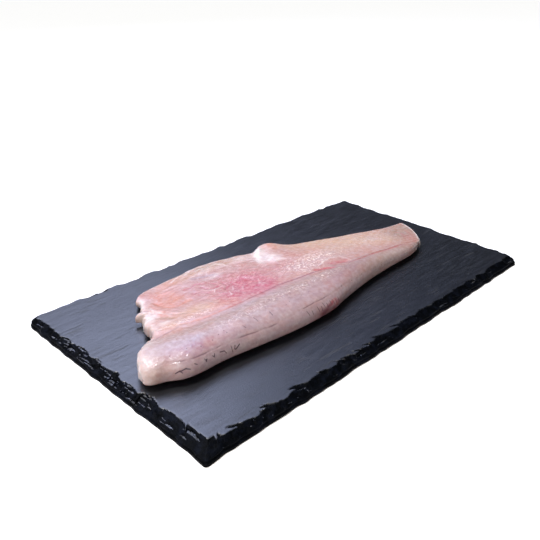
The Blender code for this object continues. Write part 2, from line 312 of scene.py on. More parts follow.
def fillet_form():
    """The fillet's upper skin as columns of points, with each point's place along and across it."""
    share, end_height = fillet_rows().T
    loin_edge = plan_curve(LOIN_EDGE, share)
    seam = plan_curve(SEAM, share)
    belly_edge = plan_curve(BELLY_EDGE, share)
    nearer = plan_curve(SEAM, np.clip(share - SHARE_STEP, 0, 1))
    further = plan_curve(SEAM, np.clip(share + SHARE_STEP, 0, 1))
    towards_head = (nearer - further) / np.linalg.norm(nearer - further, axis=1)[:, None]
    crest_place = profile(CREST_PLACE, share)
    crest = profile(CREST_HEIGHT, share)
    seam_height = profile(SEAM_HEIGHT, share)
    hollow = profile(HOLLOW_HEIGHT, share)
    rim = profile(RIM_HEIGHT, share)
    points = []
    places = []
    for is_belly, across, rise in fillet_columns(crest_place):
        if is_belly:
            spot = seam + (belly_edge - seam) * across[:, None]
            across_all = SEAM_SHARE + (1 - SEAM_SHARE) * across
            edge = BELLY_EDGE_HEIGHT
            slope = (rim - seam_height) / RIM_PLACE
            t = across / HOLLOW_PLACE
            near = hermite(seam_height, hollow, 0.0, slope * HOLLOW_PLACE, t)
            reach = RIM_PLACE - HOLLOW_PLACE
            far = hermite(hollow, rim, slope * reach, rim - hollow, (across - HOLLOW_PLACE) / reach)
            full = np.where(across < HOLLOW_PLACE, near, np.where(across < RIM_PLACE, far, rim))
        else:
            spot = loin_edge + (seam - loin_edge) * across[:, None]
            across_all = SEAM_SHARE * across
            edge = LOIN_EDGE_HEIGHT
            down = np.clip((across - crest_place) / (1 - crest_place), 0, 1)
            full = seam_height + (crest - seam_height) * (1 + np.cos(math.pi * down)) / 2
            droop = HEAD_DROOP * bell(share, 0, HEAD_DROOP_LENGTH)
            droop = droop * (1 - smooth(*HEAD_DROOP_SIDE, across_all))
            full = full - (full - edge) * droop
        full = edge + (full - edge) * rise
        lift = NOTCH_LIFT * bell(share, 0, NOTCH_LIFT_LENGTH) * bell(across_all, SEAM_SHARE, NOTCH_LIFT_WIDTH)
        lifted = np.minimum(edge + lift, full)
        spot = spot + end_shift(share, across_all)[:, None] * towards_head
        points.append(np.column_stack((spot, lifted + (full - lifted) * end_height)))
        places.append(np.column_stack((share, across_all)))
    return np.array(points), np.array(places)


def base_rings(outline):
    """Rings from the fillet's widest outline, curving in under it to where it rests."""
    smoothed = outline[:, :2]
    at_loin = outline[:, 2] > 0.5 * (LOIN_EDGE_HEIGHT + BELLY_EDGE_HEIGHT)
    reach = np.where(at_loin, LOIN_UNDERCUT, BELLY_UNDERCUT)
    for _ in range(BASE_SMOOTHING):
        smoothed = (np.roll(smoothed, 1, axis=0) + 2 * smoothed + np.roll(smoothed, -1, axis=0)) / 4
        reach = (np.roll(reach, 1) + 2 * reach + np.roll(reach, -1)) / 4
    ahead = np.roll(smoothed, -1, axis=0) - np.roll(smoothed, 1, axis=0)
    ahead /= np.linalg.norm(ahead, axis=1)[:, None]
    turn = np.sum(smoothed[:, 0] * np.roll(smoothed[:, 1], -1) - np.roll(smoothed[:, 0], -1) * smoothed[:, 1])
    inward = np.column_stack((-ahead[:, 1], ahead[:, 0])) * np.sign(turn)
    inner = smoothed + inward * reach[:, None]
    rings = []
    for inwards, height in UNDERCUT:
        plan = outline[:, :2] + (inner - outline[:, :2]) * inwards
        rings.append(np.column_stack((plan, outline[:, 2] * height)))
    return rings


# Lines on the flesh, as (share of the length, share across)
SEAM_LINE = (
    (0.0, 0.50), (0.03, 0.445), (0.07, 0.434), (0.14, 0.408), (0.22, 0.404), (0.34, 0.404), (0.48, 0.398),
    (0.556, 0.392), (0.60, 0.35), (0.68, 0.31), (0.78, 0.314), (0.85, 0.306), (0.93, 0.37), (1.0, 0.41),
)
CREASE_LINE = (
    (0.0, 0.052), (0.07, 0.049), (0.11, 0.042), (0.16, 0.036), (0.23, 0.035), (0.30, 0.030), (0.36, 0.030),
    (0.42, 0.045), (0.52, 0.053), (0.65, 0.046), (0.80, 0.028), (1.0, 0.02),
)
FOLD_LINE = (
    (0.0, 0.72), (0.04, 0.684), (0.065, 0.63), (0.09, 0.566), (0.12, 0.53), (0.15, 0.522), (0.20, 0.53),
)

# Coloured patches of the flesh, by finish:
# (share along, share across, half-length, half-width, slope, strength)
PATCHES = {
    "pink": (
        (0.24, 0.66, 0.09, 0.13, -0.5, 0.24), (0.34, 0.47, 0.055, 0.045, 0.0, 0.8),
        (0.25, 0.48, 0.07, 0.05, 0.0, 0.45), (0.33, 0.58, 0.07, 0.14, -0.6, 0.97),
        (0.365, 0.53, 0.045, 0.11, -0.8, 0.95), (0.295, 0.5, 0.08, 0.07, -0.3, 0.95),
        (0.17, 0.72, 0.06, 0.08, 0.0, 0.15), (0.02, 0.9, 0.03, 0.07, 0.0, 0.4),
        (0.46, 0.6, 0.09, 0.1, -0.8, 0.28), (0.56, 0.75, 0.09, 0.1, 0.0, 0.22),
        (0.12, 0.1, 0.1, 0.05, 0.0, 0.25), (0.61, 0.15, 0.1, 0.1, 0.0, 0.12),
    ),
    "peach": (
        # The first sits in the hollow near the head, where its peach is partly painted shade
        (0.085, 0.8, 0.045, 0.11, 0.0, 0.85), (0.105, 0.7, 0.035, 0.07, 0.0, 0.8),
        (0.058, 0.59, 0.018, 0.045, -1.2, 1.0), (0.15, 0.92, 0.05, 0.05, 0.0, 0.7),
        (0.26, 0.945, 0.12, 0.045, 0.0, 0.6), (0.06, 0.38, 0.04, 0.06, -0.6, 0.35),
        (0.505, 0.94, 0.022, 0.07, 0.0, 0.75), (0.945, 0.72, 0.05, 0.2, 0.0, 0.65),
        (0.21, 0.45, 0.07, 0.025, 0.0, 0.35),
    ),
    "cream": (
        (0.25, 0.93, 0.11, 0.045, 0.0, 0.85), (0.75, 0.8, 0.17, 0.22, 0.0, 0.85),
        (0.64, 0.93, 0.12, 0.1, 0.0, 0.75), (0.88, 0.6, 0.08, 0.12, 0.0, 0.6),
        (0.15, 0.51, 0.07, 0.05, -0.2, 0.75), (0.06, 0.45, 0.03, 0.05, -0.4, 0.6),
    ),
    "grey": (
        # On the tail's near half, at (0.88, 0.22) and (0.78, 0.12), the grey is painted shade
        (0.27, 0.935, 0.12, 0.05, 0.0, 0.75), (0.88, 0.22, 0.12, 0.17, 0.0, 0.15),
        (0.96, 0.72, 0.055, 0.32, 0.0, 0.97), (0.78, 0.12, 0.1, 0.1, 0.0, 0.25),
    ),
    "white": (
        (0.0, 0.62, 0.03, 0.15, 0.0, 0.8), (0.0, 0.86, 0.024, 0.1, 0.0, 0.85),
        (0.0, 0.13, 0.022, 0.22, 0.0, 0.68), (0.024, 0.62, 0.016, 0.04, -1.2, 0.45),
        (0.448, 0.95, 0.03, 0.11, 0.0, 1.0), (0.425, 0.88, 0.016, 0.1, 0.0, 0.9),
        # The next two spots, below the bump, are painted highlights
        (0.47, 0.78, 0.026, 0.05, -0.8, 0.9), (0.485, 0.71, 0.022, 0.022, -0.8, 0.6),
        (0.25, 0.875, 0.07, 0.018, 0.0, 0.25), (0.26, 0.8, 0.04, 0.016, 0.2, 0.4),
        (0.37, 0.9, 0.04, 0.04, 0.0, 0.35), (0.25, 0.985, 0.15, 0.01, 0.0, 0.8),
        (0.05, 0.5, 0.02, 0.03, 0.0, 0.4), (0.87, 0.12, 0.09, 0.1, 0.0, 0.28),
    ),
    "blood": (
        (0.52, 0.0, 0.045, 0.008, 0.0, 1.0), (0.555, 0.006, 0.022, 0.006, 0.0, 0.45),
        (0.965, 0.55, 0.02, 0.12, 0.0, 0.3), (0.335, 0.6, 0.018, 0.05, -0.6, 0.2),
    ),
    "strands": (
        (0.37, 0.62, 0.07, 0.17, -0.5, 1.0), (0.46, 0.62, 0.07, 0.14, -0.8, 0.7),
        (0.28, 0.6, 0.06, 0.1, -0.5, 0.5), (0.56, 0.66, 0.08, 0.12, -0.8, 0.3),
    ),
    # Bluish film on the loin, its bluish tint partly a painted sheen
    "film": (
        (0.118, 0.14, 0.032, 0.08, -0.4, 0.6), (0.06, 0.12, 0.04, 0.12, 0.0, 0.25),
        (0.23, 0.06, 0.12, 0.04, 0.0, 0.35), (0.3, 0.33, 0.1, 0.03, 0.0, 0.25),
    ),
    # Where the flakes show: their relief, and their painted highlights and painted shade
    "flakes": (
        (0.25, 0.2, 0.11, 0.045, 0.0, 0.35), (0.44, 0.25, 0.12, 0.05, 0.0, 0.62),
        (0.57, 0.27, 0.08, 0.045, 0.0, 0.55), (0.52, 0.53, 0.07, 0.09, -0.2, 0.95),
        (0.6, 0.6, 0.07, 0.1, 0.0, 0.9), (0.12, 0.45, 0.1, 0.02, 0.0, 0.6),
        (0.8, 0.7, 0.1, 0.15, 0.0, 0.25),
    ),
}

# Dark patches in the crease's finish: the maroon spot on the edge, and three stretches of the loin dimmed as
# painted shade
SHADE_AND_MAROON_PATCHES = (
    (0.505, 0.0, 0.034, 0.009, 0.0, 1.0), (0.63, 0.22, 0.11, 0.16, 0.0, 0.24),
    (0.105, 0.12, 0.05, 0.10, 0.0, 0.16), (0.42, 0.19, 0.20, 0.14, 0.0, 0.20),
)

# Swellings (+) and hollows (-): (share along, share across, half-length, half-width, slope, height)
SWELLS = (
    (0.445, 0.935, 0.022, 0.05, 0.0, 2.2 * MM), (0.475, 0.76, 0.028, 0.045, -0.8, 0.7 * MM),
    (0.495, 0.93, 0.02, 0.04, 0.0, 0.6 * MM), (0.565, 0.345, 0.035, 0.014, -0.6, -0.7 * MM),
    (0.645, 0.4, 0.03, 0.06, -0.5, -0.6 * MM), (0.64, 0.49, 0.04, 0.022, -0.3, 0.45 * MM),
    (0.085, 0.77, 0.05, 0.1, 0.0, -0.7 * MM), (0.055, 0.6, 0.018, 0.04, -1.2, -0.6 * MM),
    (0.02, 0.85, 0.025, 0.08, 0.0, 0.5 * MM), (0.31, 0.6, 0.09, 0.12, -0.5, -0.8 * MM),
    (0.27, 0.9, 0.1, 0.03, 0.0, 0.6 * MM), (0.53, 0.006, 0.035, 0.012, 0.0, 0.5 * MM),
)

# Dark hairs of pigment left in the flesh:
# (share along, share across, length in mm, degrees from the fillet's length)
HAIRS = (
    (0.081, 0.008, 3.2, 25), (0.093, 0.011, 3.6, 15), (0.102, 0.009, 2.6, -20),
    (0.088, 0.006, 2.0, -40), (0.121, 0.014, 2.2, -30), (0.145, 0.013, 3.0, -50),
    (0.147, 0.010, 1.6, 60), (0.168, 0.010, 2.6, -40), (0.170, 0.012, 2.0, 80),
    (0.192, 0.012, 2.6, -10), (0.202, 0.008, 2.6, -50), (0.218, 0.008, 4.6, -75),
    (0.226, 0.009, 2.4, 80), (0.235, 0.007, 4.0, 38), (0.291, 0.110, 5.6, -60),
    (0.338, 0.108, 4.6, -68), (0.256, 0.090, 3.2, -50), (0.446, 0.016, 4.4, -58),
    (0.462, 0.012, 3.4, -70), (0.483, 0.013, 5.0, -64), (0.494, 0.010, 3.6, -75),
    (0.503, 0.018, 4.6, -62), (0.515, 0.012, 3.4, -70), (0.539, 0.010, 4.8, -66),
    (0.528, 0.014, 3.2, -72), (0.550, 0.008, 3.6, -66), (0.562, 0.009, 4.0, -66),
)
# How far from a hair its weight falls to 0
HAIR_REACH = 1.2 * MM

# Single marks drawn on the flesh: (finish, half-width in mm, strength, height in mm, points along and across)
STROKES = (
    # The ridge of the fold near the head, and the two hollows beside it: the white on the ridge is a painted
    # highlight, the peach in the hollows partly painted shade, and the grey in the second hollow painted
    # shade
    ("white", 0.9, 0.40, 0.25, (
        (0.022, 0.762), (0.037, 0.696), (0.059, 0.627), (0.078, 0.573))),
    ("peach", 2.6, 0.95, -0.50, (
        (0.054, 0.786), (0.077, 0.679), (0.105, 0.636), (0.131, 0.645), (0.145, 0.660))),
    ("peach", 2.8, 1.00, -0.80, ((0.046, 0.600), (0.054, 0.580), (0.074, 0.530))),
    ("grey", 2.3, 0.75, 0.0, ((0.046, 0.600), (0.054, 0.580), (0.074, 0.530))),
    # A painted highlight along the fold's edge
    ("white", 0.9, 0.50, 0.25, ((0.041, 0.735), (0.036, 0.690), (0.034, 0.645))),
    # Curled shreds beside and in the pink, with a painted highlight in white along one of them
    ("pink", 0.8, 1.00, -0.40, (
        (0.204, 0.730), (0.219, 0.684), (0.234, 0.663), (0.254, 0.674), (0.251, 0.700), (0.231, 0.745))),
    ("white", 0.6, 0.35, 0.25, ((0.200, 0.700), (0.219, 0.655), (0.240, 0.640), (0.262, 0.660))),
    ("pink", 0.8, 1.00, -0.40, (
        (0.270, 0.697), (0.275, 0.646), (0.262, 0.606), (0.282, 0.624), (0.297, 0.638))),
    ("pink", 0.8, 0.90, -0.30, ((0.150, 0.790), (0.172, 0.770), (0.190, 0.790), (0.205, 0.770))),
    ("pink", 0.7, 0.80, -0.30, ((0.165, 0.700), (0.185, 0.690), (0.200, 0.660), (0.222, 0.600))),
    # Short white strokes in the pink: painted glints of the wet flesh
    ("white", 0.5, 0.55, 0.20, ((0.239, 0.662), (0.227, 0.618))),
    ("white", 0.5, 0.50, 0.20, ((0.284, 0.605), (0.279, 0.565))),
    ("white", 0.5, 0.50, 0.20, ((0.265, 0.565), (0.262, 0.515))),
    ("white", 0.5, 0.30, 0.15, ((0.310, 0.560), (0.302, 0.510))),
    ("white", 0.5, 0.40, 0.15, ((0.370, 0.581), (0.361, 0.508))),
    # The far rim: a pale ridge of torn membrane with a brown line behind it
    ("white", 0.7, 0.45, 0.35, (
        (0.215, 0.930), (0.237, 0.925), (0.265, 0.911), (0.290, 0.920), (0.312, 0.891), (0.325, 0.863))),
    ("blood", 0.6, 0.35, -0.30, (
        (0.190, 0.975), (0.220, 0.968), (0.244, 0.963), (0.282, 0.955), (0.310, 0.938), (0.335, 0.915))),
    ("white", 0.7, 0.45, 0.30, ((0.130, 0.930), (0.155, 0.955), (0.180, 0.940), (0.200, 0.955))),
    ("peach", 1.4, 0.70, -0.20, ((0.120, 0.890), (0.150, 0.910), (0.180, 0.900))),
    ("film", 2.2, 0.70, 0.10, ((0.190, 0.860), (0.224, 0.837), (0.246, 0.824), (0.267, 0.802))),
    # Bluish streaks on the loin, partly a painted sheen, and the dark start of the seam
    ("film", 0.8, 0.90, 0.12, ((0.106, 0.178), (0.113, 0.113))),
    ("film", 0.8, 0.90, 0.12, ((0.114, 0.160), (0.123, 0.098))),
    ("film", 0.8, 0.80, 0.10, ((0.095, 0.140), (0.101, 0.102))),
    ("film", 0.8, 0.70, 0.10, ((0.128, 0.200), (0.134, 0.150))),
    ("crease", 0.9, 0.50, -0.25, (
        (0.020, 0.331), (0.028, 0.375), (0.042, 0.385), (0.061, 0.402), (0.078, 0.410))),
    # The bruise: a red streak and an oval with a pale rim, the rim a painted highlight along its raised lip
    ("blood", 1.4, 1.00, -0.30, ((0.543, 0.418), (0.565, 0.405), (0.589, 0.385), (0.606, 0.347))),
    ("blood", 3.0, 0.62, -0.30, ((0.612, 0.430), (0.640, 0.425), (0.662, 0.405))),
    ("white", 0.9, 0.30, 0.25, (
        (0.570, 0.460), (0.603, 0.504), (0.627, 0.510), (0.650, 0.493), (0.670, 0.459), (0.678, 0.393))),
    # Towards the tail
    ("peach", 0.9, 0.60, -0.10, ((0.605, 0.804), (0.645, 0.790), (0.683, 0.775), (0.720, 0.765))),
    ("blood", 1.0, 0.55, -0.10, ((0.944, 0.760), (0.955, 0.700), (0.958, 0.585))),
    ("blood", 1.2, 0.35, 0.0, ((0.972, 0.720), (0.978, 0.600), (0.975, 0.500))),
)
# Ridges (+) and grooves (-) of torn membrane along the belly's rim: (line, start, end, height in mm)
RIM_LINES = (
    (((0.13, 0.93), (0.20, 0.955), (0.27, 0.93), (0.33, 0.90), (0.40, 0.93)), 0.13, 0.42, 0.55),
    (((0.15, 0.885), (0.22, 0.905), (0.28, 0.87), (0.34, 0.86), (0.40, 0.88)), 0.16, 0.38, -0.50),
    (((0.17, 0.84), (0.23, 0.86), (0.28, 0.82), (0.33, 0.83)), 0.18, 0.33, 0.40),
    (((0.03, 0.83), (0.07, 0.86), (0.12, 0.84), (0.16, 0.87)), 0.03, 0.16, 0.35),
)
# Small dark dots along the loin, as (share along, share across), and their length in mm and angle in degrees
DOTS = (
    (0.40, 0.137), (0.388, 0.125), (0.445, 0.150), (0.469, 0.154), (0.511, 0.054), (0.59, 0.057),
    (0.644, 0.047), (0.672, 0.041), (0.697, 0.043), (0.80, 0.026), (0.85, 0.032), (0.21, 0.098),
    (0.185, 0.112), (0.168, 0.092), (0.20, 0.125), (0.10, 0.115), (0.135, 0.088), (0.065, 0.09),
)
DOT_LENGTH = 0.3
DOT_ANGLE = 30
# A share across counts for about half of a share along, as the fillet is longer than it is wide
ACROSS_SCALE = 0.5

# Relief of the flesh as noise: (height, size of its bumps, seed, any stretch), all over and in its parts
SKIN_BUMPS = ((0.45 * MM, 17 * MM, 1.0), (0.12 * MM, 5 * MM, 3.0))
TORN_WRINKLES = (0.40 * MM, 3.4 * MM, 7.0, (0.5, 1.0, 1.0))
FLAKE_BUMPS = (0.16 * MM, 1.5 * MM, 11.0)
END_BUMPS = (0.30 * MM, 2.4 * MM, 5.0)
# Grooves (-) and ridges (+) along the lines: (height, distance from the line, half-width)
SEAM_GROOVE = (-0.55 * MM, 0.0, 1.0 * MM)
CREASE_GROOVE = (-0.22 * MM, 0.0, 0.50 * MM)
FOLD_RIDGE = (0.70 * MM, 1.1 * MM, 1.5 * MM)
FOLD_GROOVE = (-0.60 * MM, -1.2 * MM, 1.6 * MM)
RIM_LINE_WIDTH = 0.9 * MM
# Tints along the lines: (strength, distance from the line, half-width)
CREASE_TINT = (1.0, 0.0, 0.45 * MM)
SEAM_DARK = (0.80, 0.0, 0.6 * MM)
SEAM_FAT = (0.75, 0.0, 0.9 * MM)
SEAM_BLOOD = (0.75, 0.0, 0.8 * MM)
SEAM_BLUSH = (0.35, -0.3 * MM, 1.3 * MM)
# The share of the crease's depth left on average, its changes and its tint's, and how the tint wanders
CREASE_WORN = 0.6
CREASE_WEAR = (0.6, 9 * MM, 4.0)
CREASE_GAPS = (1.0, 6 * MM, 8.0)
CREASE_WANDER = (0.5 * MM, 4 * MM, 12.0)
# How far the patches wander along and across, as shares, and how uneven they are
PATCH_WANDER_ALONG = (0.012, 9 * MM, 21.0)
PATCH_WANDER_ACROSS = (0.020, 11 * MM, 25.0)
PATCH_UNEVENNESS = (0.35, 3 * MM, 31.0)
# Stretches of the length, as shares: where they start, are full, fade and end
CREASE_DEEP = (0.02, 0.08, 0.55, 0.75)
CREASE_SEEN = (0.05, 0.09, 0.46, 0.60)
SEAM_DARKENED = (0.18, 0.34, 0.55, 0.62)
SEAM_FATTY = (0.03, 0.08, 0.22, 0.36)
RIM_RIPPLED = (0.08, 0.16, 0.33, 0.42)
VALLEY_SEEN = (0.10, 0.20, 0.42, 0.60)
SHREDS_SEEN = (0.14, 0.24, 0.36, 0.48)
# Where the torn inner side of the belly starts and is whole across, and where it fades along
TORN_SIDE = (0.42, 0.50)
TORN_FADE = (0.42, 0.55)
# The seam's groove is this share of itself near the head, and whole over these shares of the length
SEAM_SHALLOW = 0.45
SEAM_DEEPER = (0.5, 0.7)
# Where the fold's ridge and groove fade
FOLD_RIDGE_FADE = (0.07, 0.13)
FOLD_GROOVE_FADE = (0.08, 0.14)
# The ragged skin at both cuts fades over these shares of the length
HEAD_END = (0.0, 0.05)
TAIL_END = (0.97, 1.0)
# Over how much of the length a line of the rim comes in and fades
RIM_LINE_START = 0.03
RIM_LINE_FADE = 0.05
# Ripples of the belly's rim: height, (middle, half-width) across, radians over the width, and how they bend
RIM_RIPPLE = 0.28 * MM
RIM_RIPPLE_PLACE = (0.90, 0.05)
RIM_RIPPLE_RATE = 150
RIM_RIPPLE_BEND = (5.0, 14 * MM, 2.0)


def patch(along, across, middle_along, middle_across, half_length, half_width, slope, strength):
    """A soft-edged oval on the flesh, leaning by its slope."""
    u = (along - middle_along) / half_length
    v = (across - middle_across - slope * (along - middle_along)) / half_width
    return strength * np.exp(-(u * u + v * v))


def surface_distance(form, places, line):
    """How far each point is, across the fillet, from a line along it."""
    steps = np.linalg.norm(np.diff(form, axis=0), axis=2)
    across_length = np.vstack((np.zeros(form.shape[1]), np.cumsum(steps, axis=0)))
    distance = np.empty(form.shape[:2])
    for k in range(form.shape[1]):
        target = profile(line, places[:, k, 0].mean())
        distance[:, k] = across_length[:, k] - np.interp(target, places[:, k, 1], across_length[:, k])
    return distance


def spot_index(places, along, across):
    """The column and row of the point nearest to a place on the fillet."""
    miss = (places[..., 0] - along) ** 2 + (ACROSS_SCALE * (places[..., 1] - across)) ** 2
    return np.unravel_index(np.argmin(miss), miss.shape)


def segment_distance(flat, start, end):
    """Each point's distance from a straight piece of line."""
    reach = end - start
    t = np.clip((flat - start) @ reach / (reach @ reach), 0, 1)
    return np.linalg.norm(flat - start - t[:, None] * reach, axis=1)


def drawn_strokes(form, places):
    """Every stroke as (finish, strength, height, its closeness from 1 on the line to 0 away from it)."""
    flat = form.reshape(-1, 3)
    strokes = []
    for finish, width, strength, height, line in STROKES:
        spots = [form[spot_index(places, *point)] for point in line]
        gaps = [segment_distance(flat, start, end) for start, end in zip(spots, spots[1:])]
        distance = np.min(gaps, axis=0).reshape(form.shape[:2])
        strokes.append((finish, strength, height * MM, bell(distance, 0, width * MM)))
    return strokes


def hair_closeness(form, places):
    """1 on a dark hair or dot, falling to 0 at HAIR_REACH from it."""
    flat = form.reshape(-1, 3)
    nearest = np.full(len(flat), HAIR_REACH)
    for along, across, hair, degrees in (*HAIRS, *((*dot, DOT_LENGTH, DOT_ANGLE) for dot in DOTS)):
        column, row = spot_index(places, along, across)
        ahead = form[column, row + 1] - form[column, row - 1]
        ahead = ahead / np.linalg.norm(ahead)
        side = form[column + 1, row] - form[column - 1, row]
        side = side / np.linalg.norm(side)
        angle = math.radians(degrees)
        reach = (math.cos(angle) * ahead + math.sin(angle) * side) * hair * MM / 2
        spot = form[column, row]
        nearest = np.minimum(nearest, segment_distance(flat, spot - reach, spot + reach))
    return 1 - (nearest / HAIR_REACH) ** 2


def skin_normals(form):
    """Outward directions of a sheet of points."""
    down = np.gradient(form, axis=0)
    ahead = np.gradient(form, axis=1)
    out = np.cross(ahead, down)
    out /= np.linalg.norm(out, axis=2)[..., None] + 1e-12
    return out * np.sign(out[form.shape[0] // 2, form.shape[1] // 2, 2])


def flesh_relief(form, places, strokes, depth):
    """How far each point of the skin stands out: swellings, creases, flakes and wrinkles."""
    along, across = np.moveaxis(places, 2, 0)
    relief = sum(patch(along, across, *swell[:5], 1.0) * swell[5] for swell in SWELLS)
    relief += unevenness(form, *SKIN_BUMPS)
    # The seam, the crease along the loin and the fold near the head
    seam = surface_distance(form, places, SEAM_LINE)
    relief += strip(seam, *SEAM_GROOVE) * (SEAM_SHALLOW + (1 - SEAM_SHALLOW) * smooth(*SEAM_DEEPER, along))
    crease = surface_distance(form, places, CREASE_LINE)
    worn = CREASE_WORN + unevenness(form, CREASE_WEAR)
    relief += strip(crease, *CREASE_GROOVE) * worn * between(along, *CREASE_DEEP)
    fold = surface_distance(form, places, FOLD_LINE)
    relief += strip(fold, *FOLD_RIDGE) * (1 - smooth(*FOLD_RIDGE_FADE, along))
    relief += strip(fold, *FOLD_GROOVE) * (1 - smooth(*FOLD_GROOVE_FADE, along))
    # Wrinkles of the torn belly, and the ripples and lines of its rim
    torn = smooth(*TORN_SIDE, across) * (1 - smooth(*TORN_FADE, along))
    # They start weakly near the head, and are whole a fifth of the way along
    torn *= 0.35 * smooth(0.03, 0.10, along) + 0.65 * smooth(0.12, 0.22, along)
    relief += torn * unevenness(form, TORN_WRINKLES)
    rim = RIM_RIPPLE * bell(across, *RIM_RIPPLE_PLACE) * between(along, *RIM_RIPPLED)
    relief += rim * np.sin(across * RIM_RIPPLE_RATE + unevenness(form, RIM_RIPPLE_BEND))
    for line, start, end, height in RIM_LINES:
        kept = between(along, start, start + RIM_LINE_START, end - RIM_LINE_FADE, end)
        relief += strip(surface_distance(form, places, line), height * MM, 0, RIM_LINE_WIDTH) * kept
    flakes = sum(patch(along, across, *spot) for spot in PATCHES["flakes"])
    relief += np.clip(flakes, 0, 1) * unevenness(form, FLAKE_BUMPS)
    ends = 1 - smooth(*HEAD_END, along) + smooth(*TAIL_END, along)
    relief += ends * unevenness(form, END_BUMPS)
    return depth * (relief + sum(height * closeness for _, _, height, closeness in strokes))


def line_weights(form, places, along, across):
    """How much the seam and the crease along the loin add to three finishes."""
    seam = surface_distance(form, places, SEAM_LINE)
    crease = surface_distance(form, places, CREASE_LINE) + unevenness(form, CREASE_WANDER)
    worn = smooth(-0.35, 0.25, unevenness(form, CREASE_GAPS))
    dark = (
        strip(crease, *CREASE_TINT) * worn * between(along, *CREASE_SEEN),
        strip(seam, *SEAM_DARK) * between(along, *SEAM_DARKENED),
        *(patch(along, across, *spot) for spot in SHADE_AND_MAROON_PATCHES),
    )
    # The bone line bleeds in the tail half, and the flesh beside the seam blushes
    tail = smooth(0.58, 0.70, along) * (1 - 0.4 * smooth(0.95, 1.0, along))
    blush = strip(seam, *SEAM_BLUSH) * smooth(0.10, 0.3, along)
    return {
        "peach": strip(seam, *SEAM_FAT) * between(along, *SEAM_FATTY),
        "crease": np.max(dark, axis=0),
        "blood": np.maximum(strip(seam, *SEAM_BLOOD) * tail, blush),
    }


def finish_weights(form, places, strokes):
    """How much of each finish every point of the flesh has."""
    along = places[..., 0] + unevenness(form, PATCH_WANDER_ALONG)
    across = places[..., 1] + unevenness(form, PATCH_WANDER_ACROSS)
    uneven = 1 + unevenness(form, PATCH_UNEVENNESS)
    weights = {"crease": np.zeros(along.shape)}
    for name, spots in PATCHES.items():
        total = 1 - np.prod([1 - patch(along, across, *spot) for spot in spots], axis=0)
        weights[name] = np.clip(total * uneven, 0, 1)
    # The loin's silverskin thins towards the tail
    weights["loin"] = (1 - smooth(0.33, 0.42, across)) * (1 - 0.5 * smooth(0.75, 0.95, along))
    # The loin's side is greyest low down; the grey in the valley beside the seam is painted shade of its
    # slope towards the seam
    low = np.maximum(1 - smooth(0.012, 0.075, across), 0.70 * (1 - smooth(0.05, 0.30, across)))
    low = low * (1 - 0.55 * smooth(0.58, 0.85, along))
    valley = 0.50 * bell(across, 0.375, 0.035) * between(along, *VALLEY_SEEN)
    weights["flank"] = np.maximum(low, valley) * smooth(0.02, 0.10, along)
    weights["torn"] = smooth(*TORN_SIDE, across) * between(along, *SHREDS_SEEN)
    # The tail cut has a pale end, except on the loin's side
    cut_end = 0.75 * smooth(0.986, 0.997, places[..., 0]) * smooth(0.24, 0.32, places[..., 1])
    marks = [*line_weights(form, places, along, across).items(), ("white", cut_end)]
    marks += [(finish, strength * closeness) for finish, strength, _, closeness in strokes]
    for finish, weight in marks:
        weights[finish] = np.maximum(weights[finish], weight)
    weights["hairs"] = hair_closeness(form, places).reshape(along.shape)
    return weights


def make_fillet(look):
    """The fillet: a sheet wrapped over its form, extruded round and in under it, and closed flat below."""
    form, places = fillet_form()
    columns, rows = form.shape[:2]
    strokes = drawn_strokes(form, places)
    weights = finish_weights(form, places, strokes)
    free = np.minimum(*np.meshgrid(ramp(rows), ramp(columns)))
    relief = flesh_relief(form, places, strokes, look.relief) * free
    form = form + skin_normals(form) * relief[..., None]
    bpy.ops.object.select_all(action="DESELECT")
    bpy.ops.mesh.primitive_grid_add(x_subdivisions=rows - 1, y_subdivisions=columns - 1, size=1)
    piece = bpy.context.active_object
    piece.name = piece.data.name = "fish_fillet"
    place_points(piece, form.reshape(-1, 3) + (0, 0, FILLET_LOW.z))
    for name, values in weights.items():
        store(piece, name, values.ravel())
    outline = np.concatenate((form[0, :-1], form[:-1, -1], form[-1, :0:-1], form[:0:-1, 0]))
    bpy.ops.object.mode_set(mode="EDIT")
    bpy.ops.mesh.select_all(action="SELECT")
    bpy.ops.mesh.region_to_loop()
    for ring in base_rings(outline):
        bpy.ops.mesh.extrude_region_move()
        bpy.ops.object.mode_set(mode="OBJECT")
        move_ring(piece, outline + (0, 0, FILLET_LOW.z), ring + (0, 0, FILLET_LOW.z))
        bpy.ops.object.mode_set(mode="EDIT")
        outline = ring
    bpy.ops.mesh.edge_face_add()
    bpy.ops.mesh.select_all(action="SELECT")
    bpy.ops.mesh.normals_make_consistent(inside=False)
    bpy.ops.object.mode_set(mode="OBJECT")
    bpy.ops.object.shade_smooth()
    piece.data.materials.append(new_material(raw_zander_flesh, look))
    return piece


# Slate board: its solid's outline and large chips, with the flake scars and ledges of its broken edge
BOARD_LENGTH = 0.350
BOARD_WIDTH = 0.198
BOARD_THICKNESS = BOARD_HIGH.z
CORNER_RADII = (10.0 * MM, 8.0 * MM, 11.0 * MM, 2.4 * MM)
SMALLEST_RADIUS = 1.2 * MM
# Share of a corner's radius that a chip may cut away
CORNER_ROOM = 0.6
CORNER_STEPS = 14
# Steps along the right end, the far side, the left end and the near side
SIDE_STEPS = (180, 320, 380, 660)
CHIP_COUNT = 64
CHIP_WIDTHS = (5.0 * MM, 14.0 * MM)
CHIP_DEPTHS = (1.0 * MM, 3.4 * MM)
CHIP_SEED = 11
# Edge levels: (share of the height, share of the bevel's run, share of a chip's depth)
EDGE_LEVELS = ((0.0, 0.06, 0.05), (0.22, 0.0, 0.10), (0.48, 0.24, 0.45), (0.76, 0.62, 0.85), (1.0, 0.90, 1.0))
BEVEL_RUN_AT_ENDS = 4.5 * MM
BEVEL_RUN_AT_SIDES = 6.5 * MM
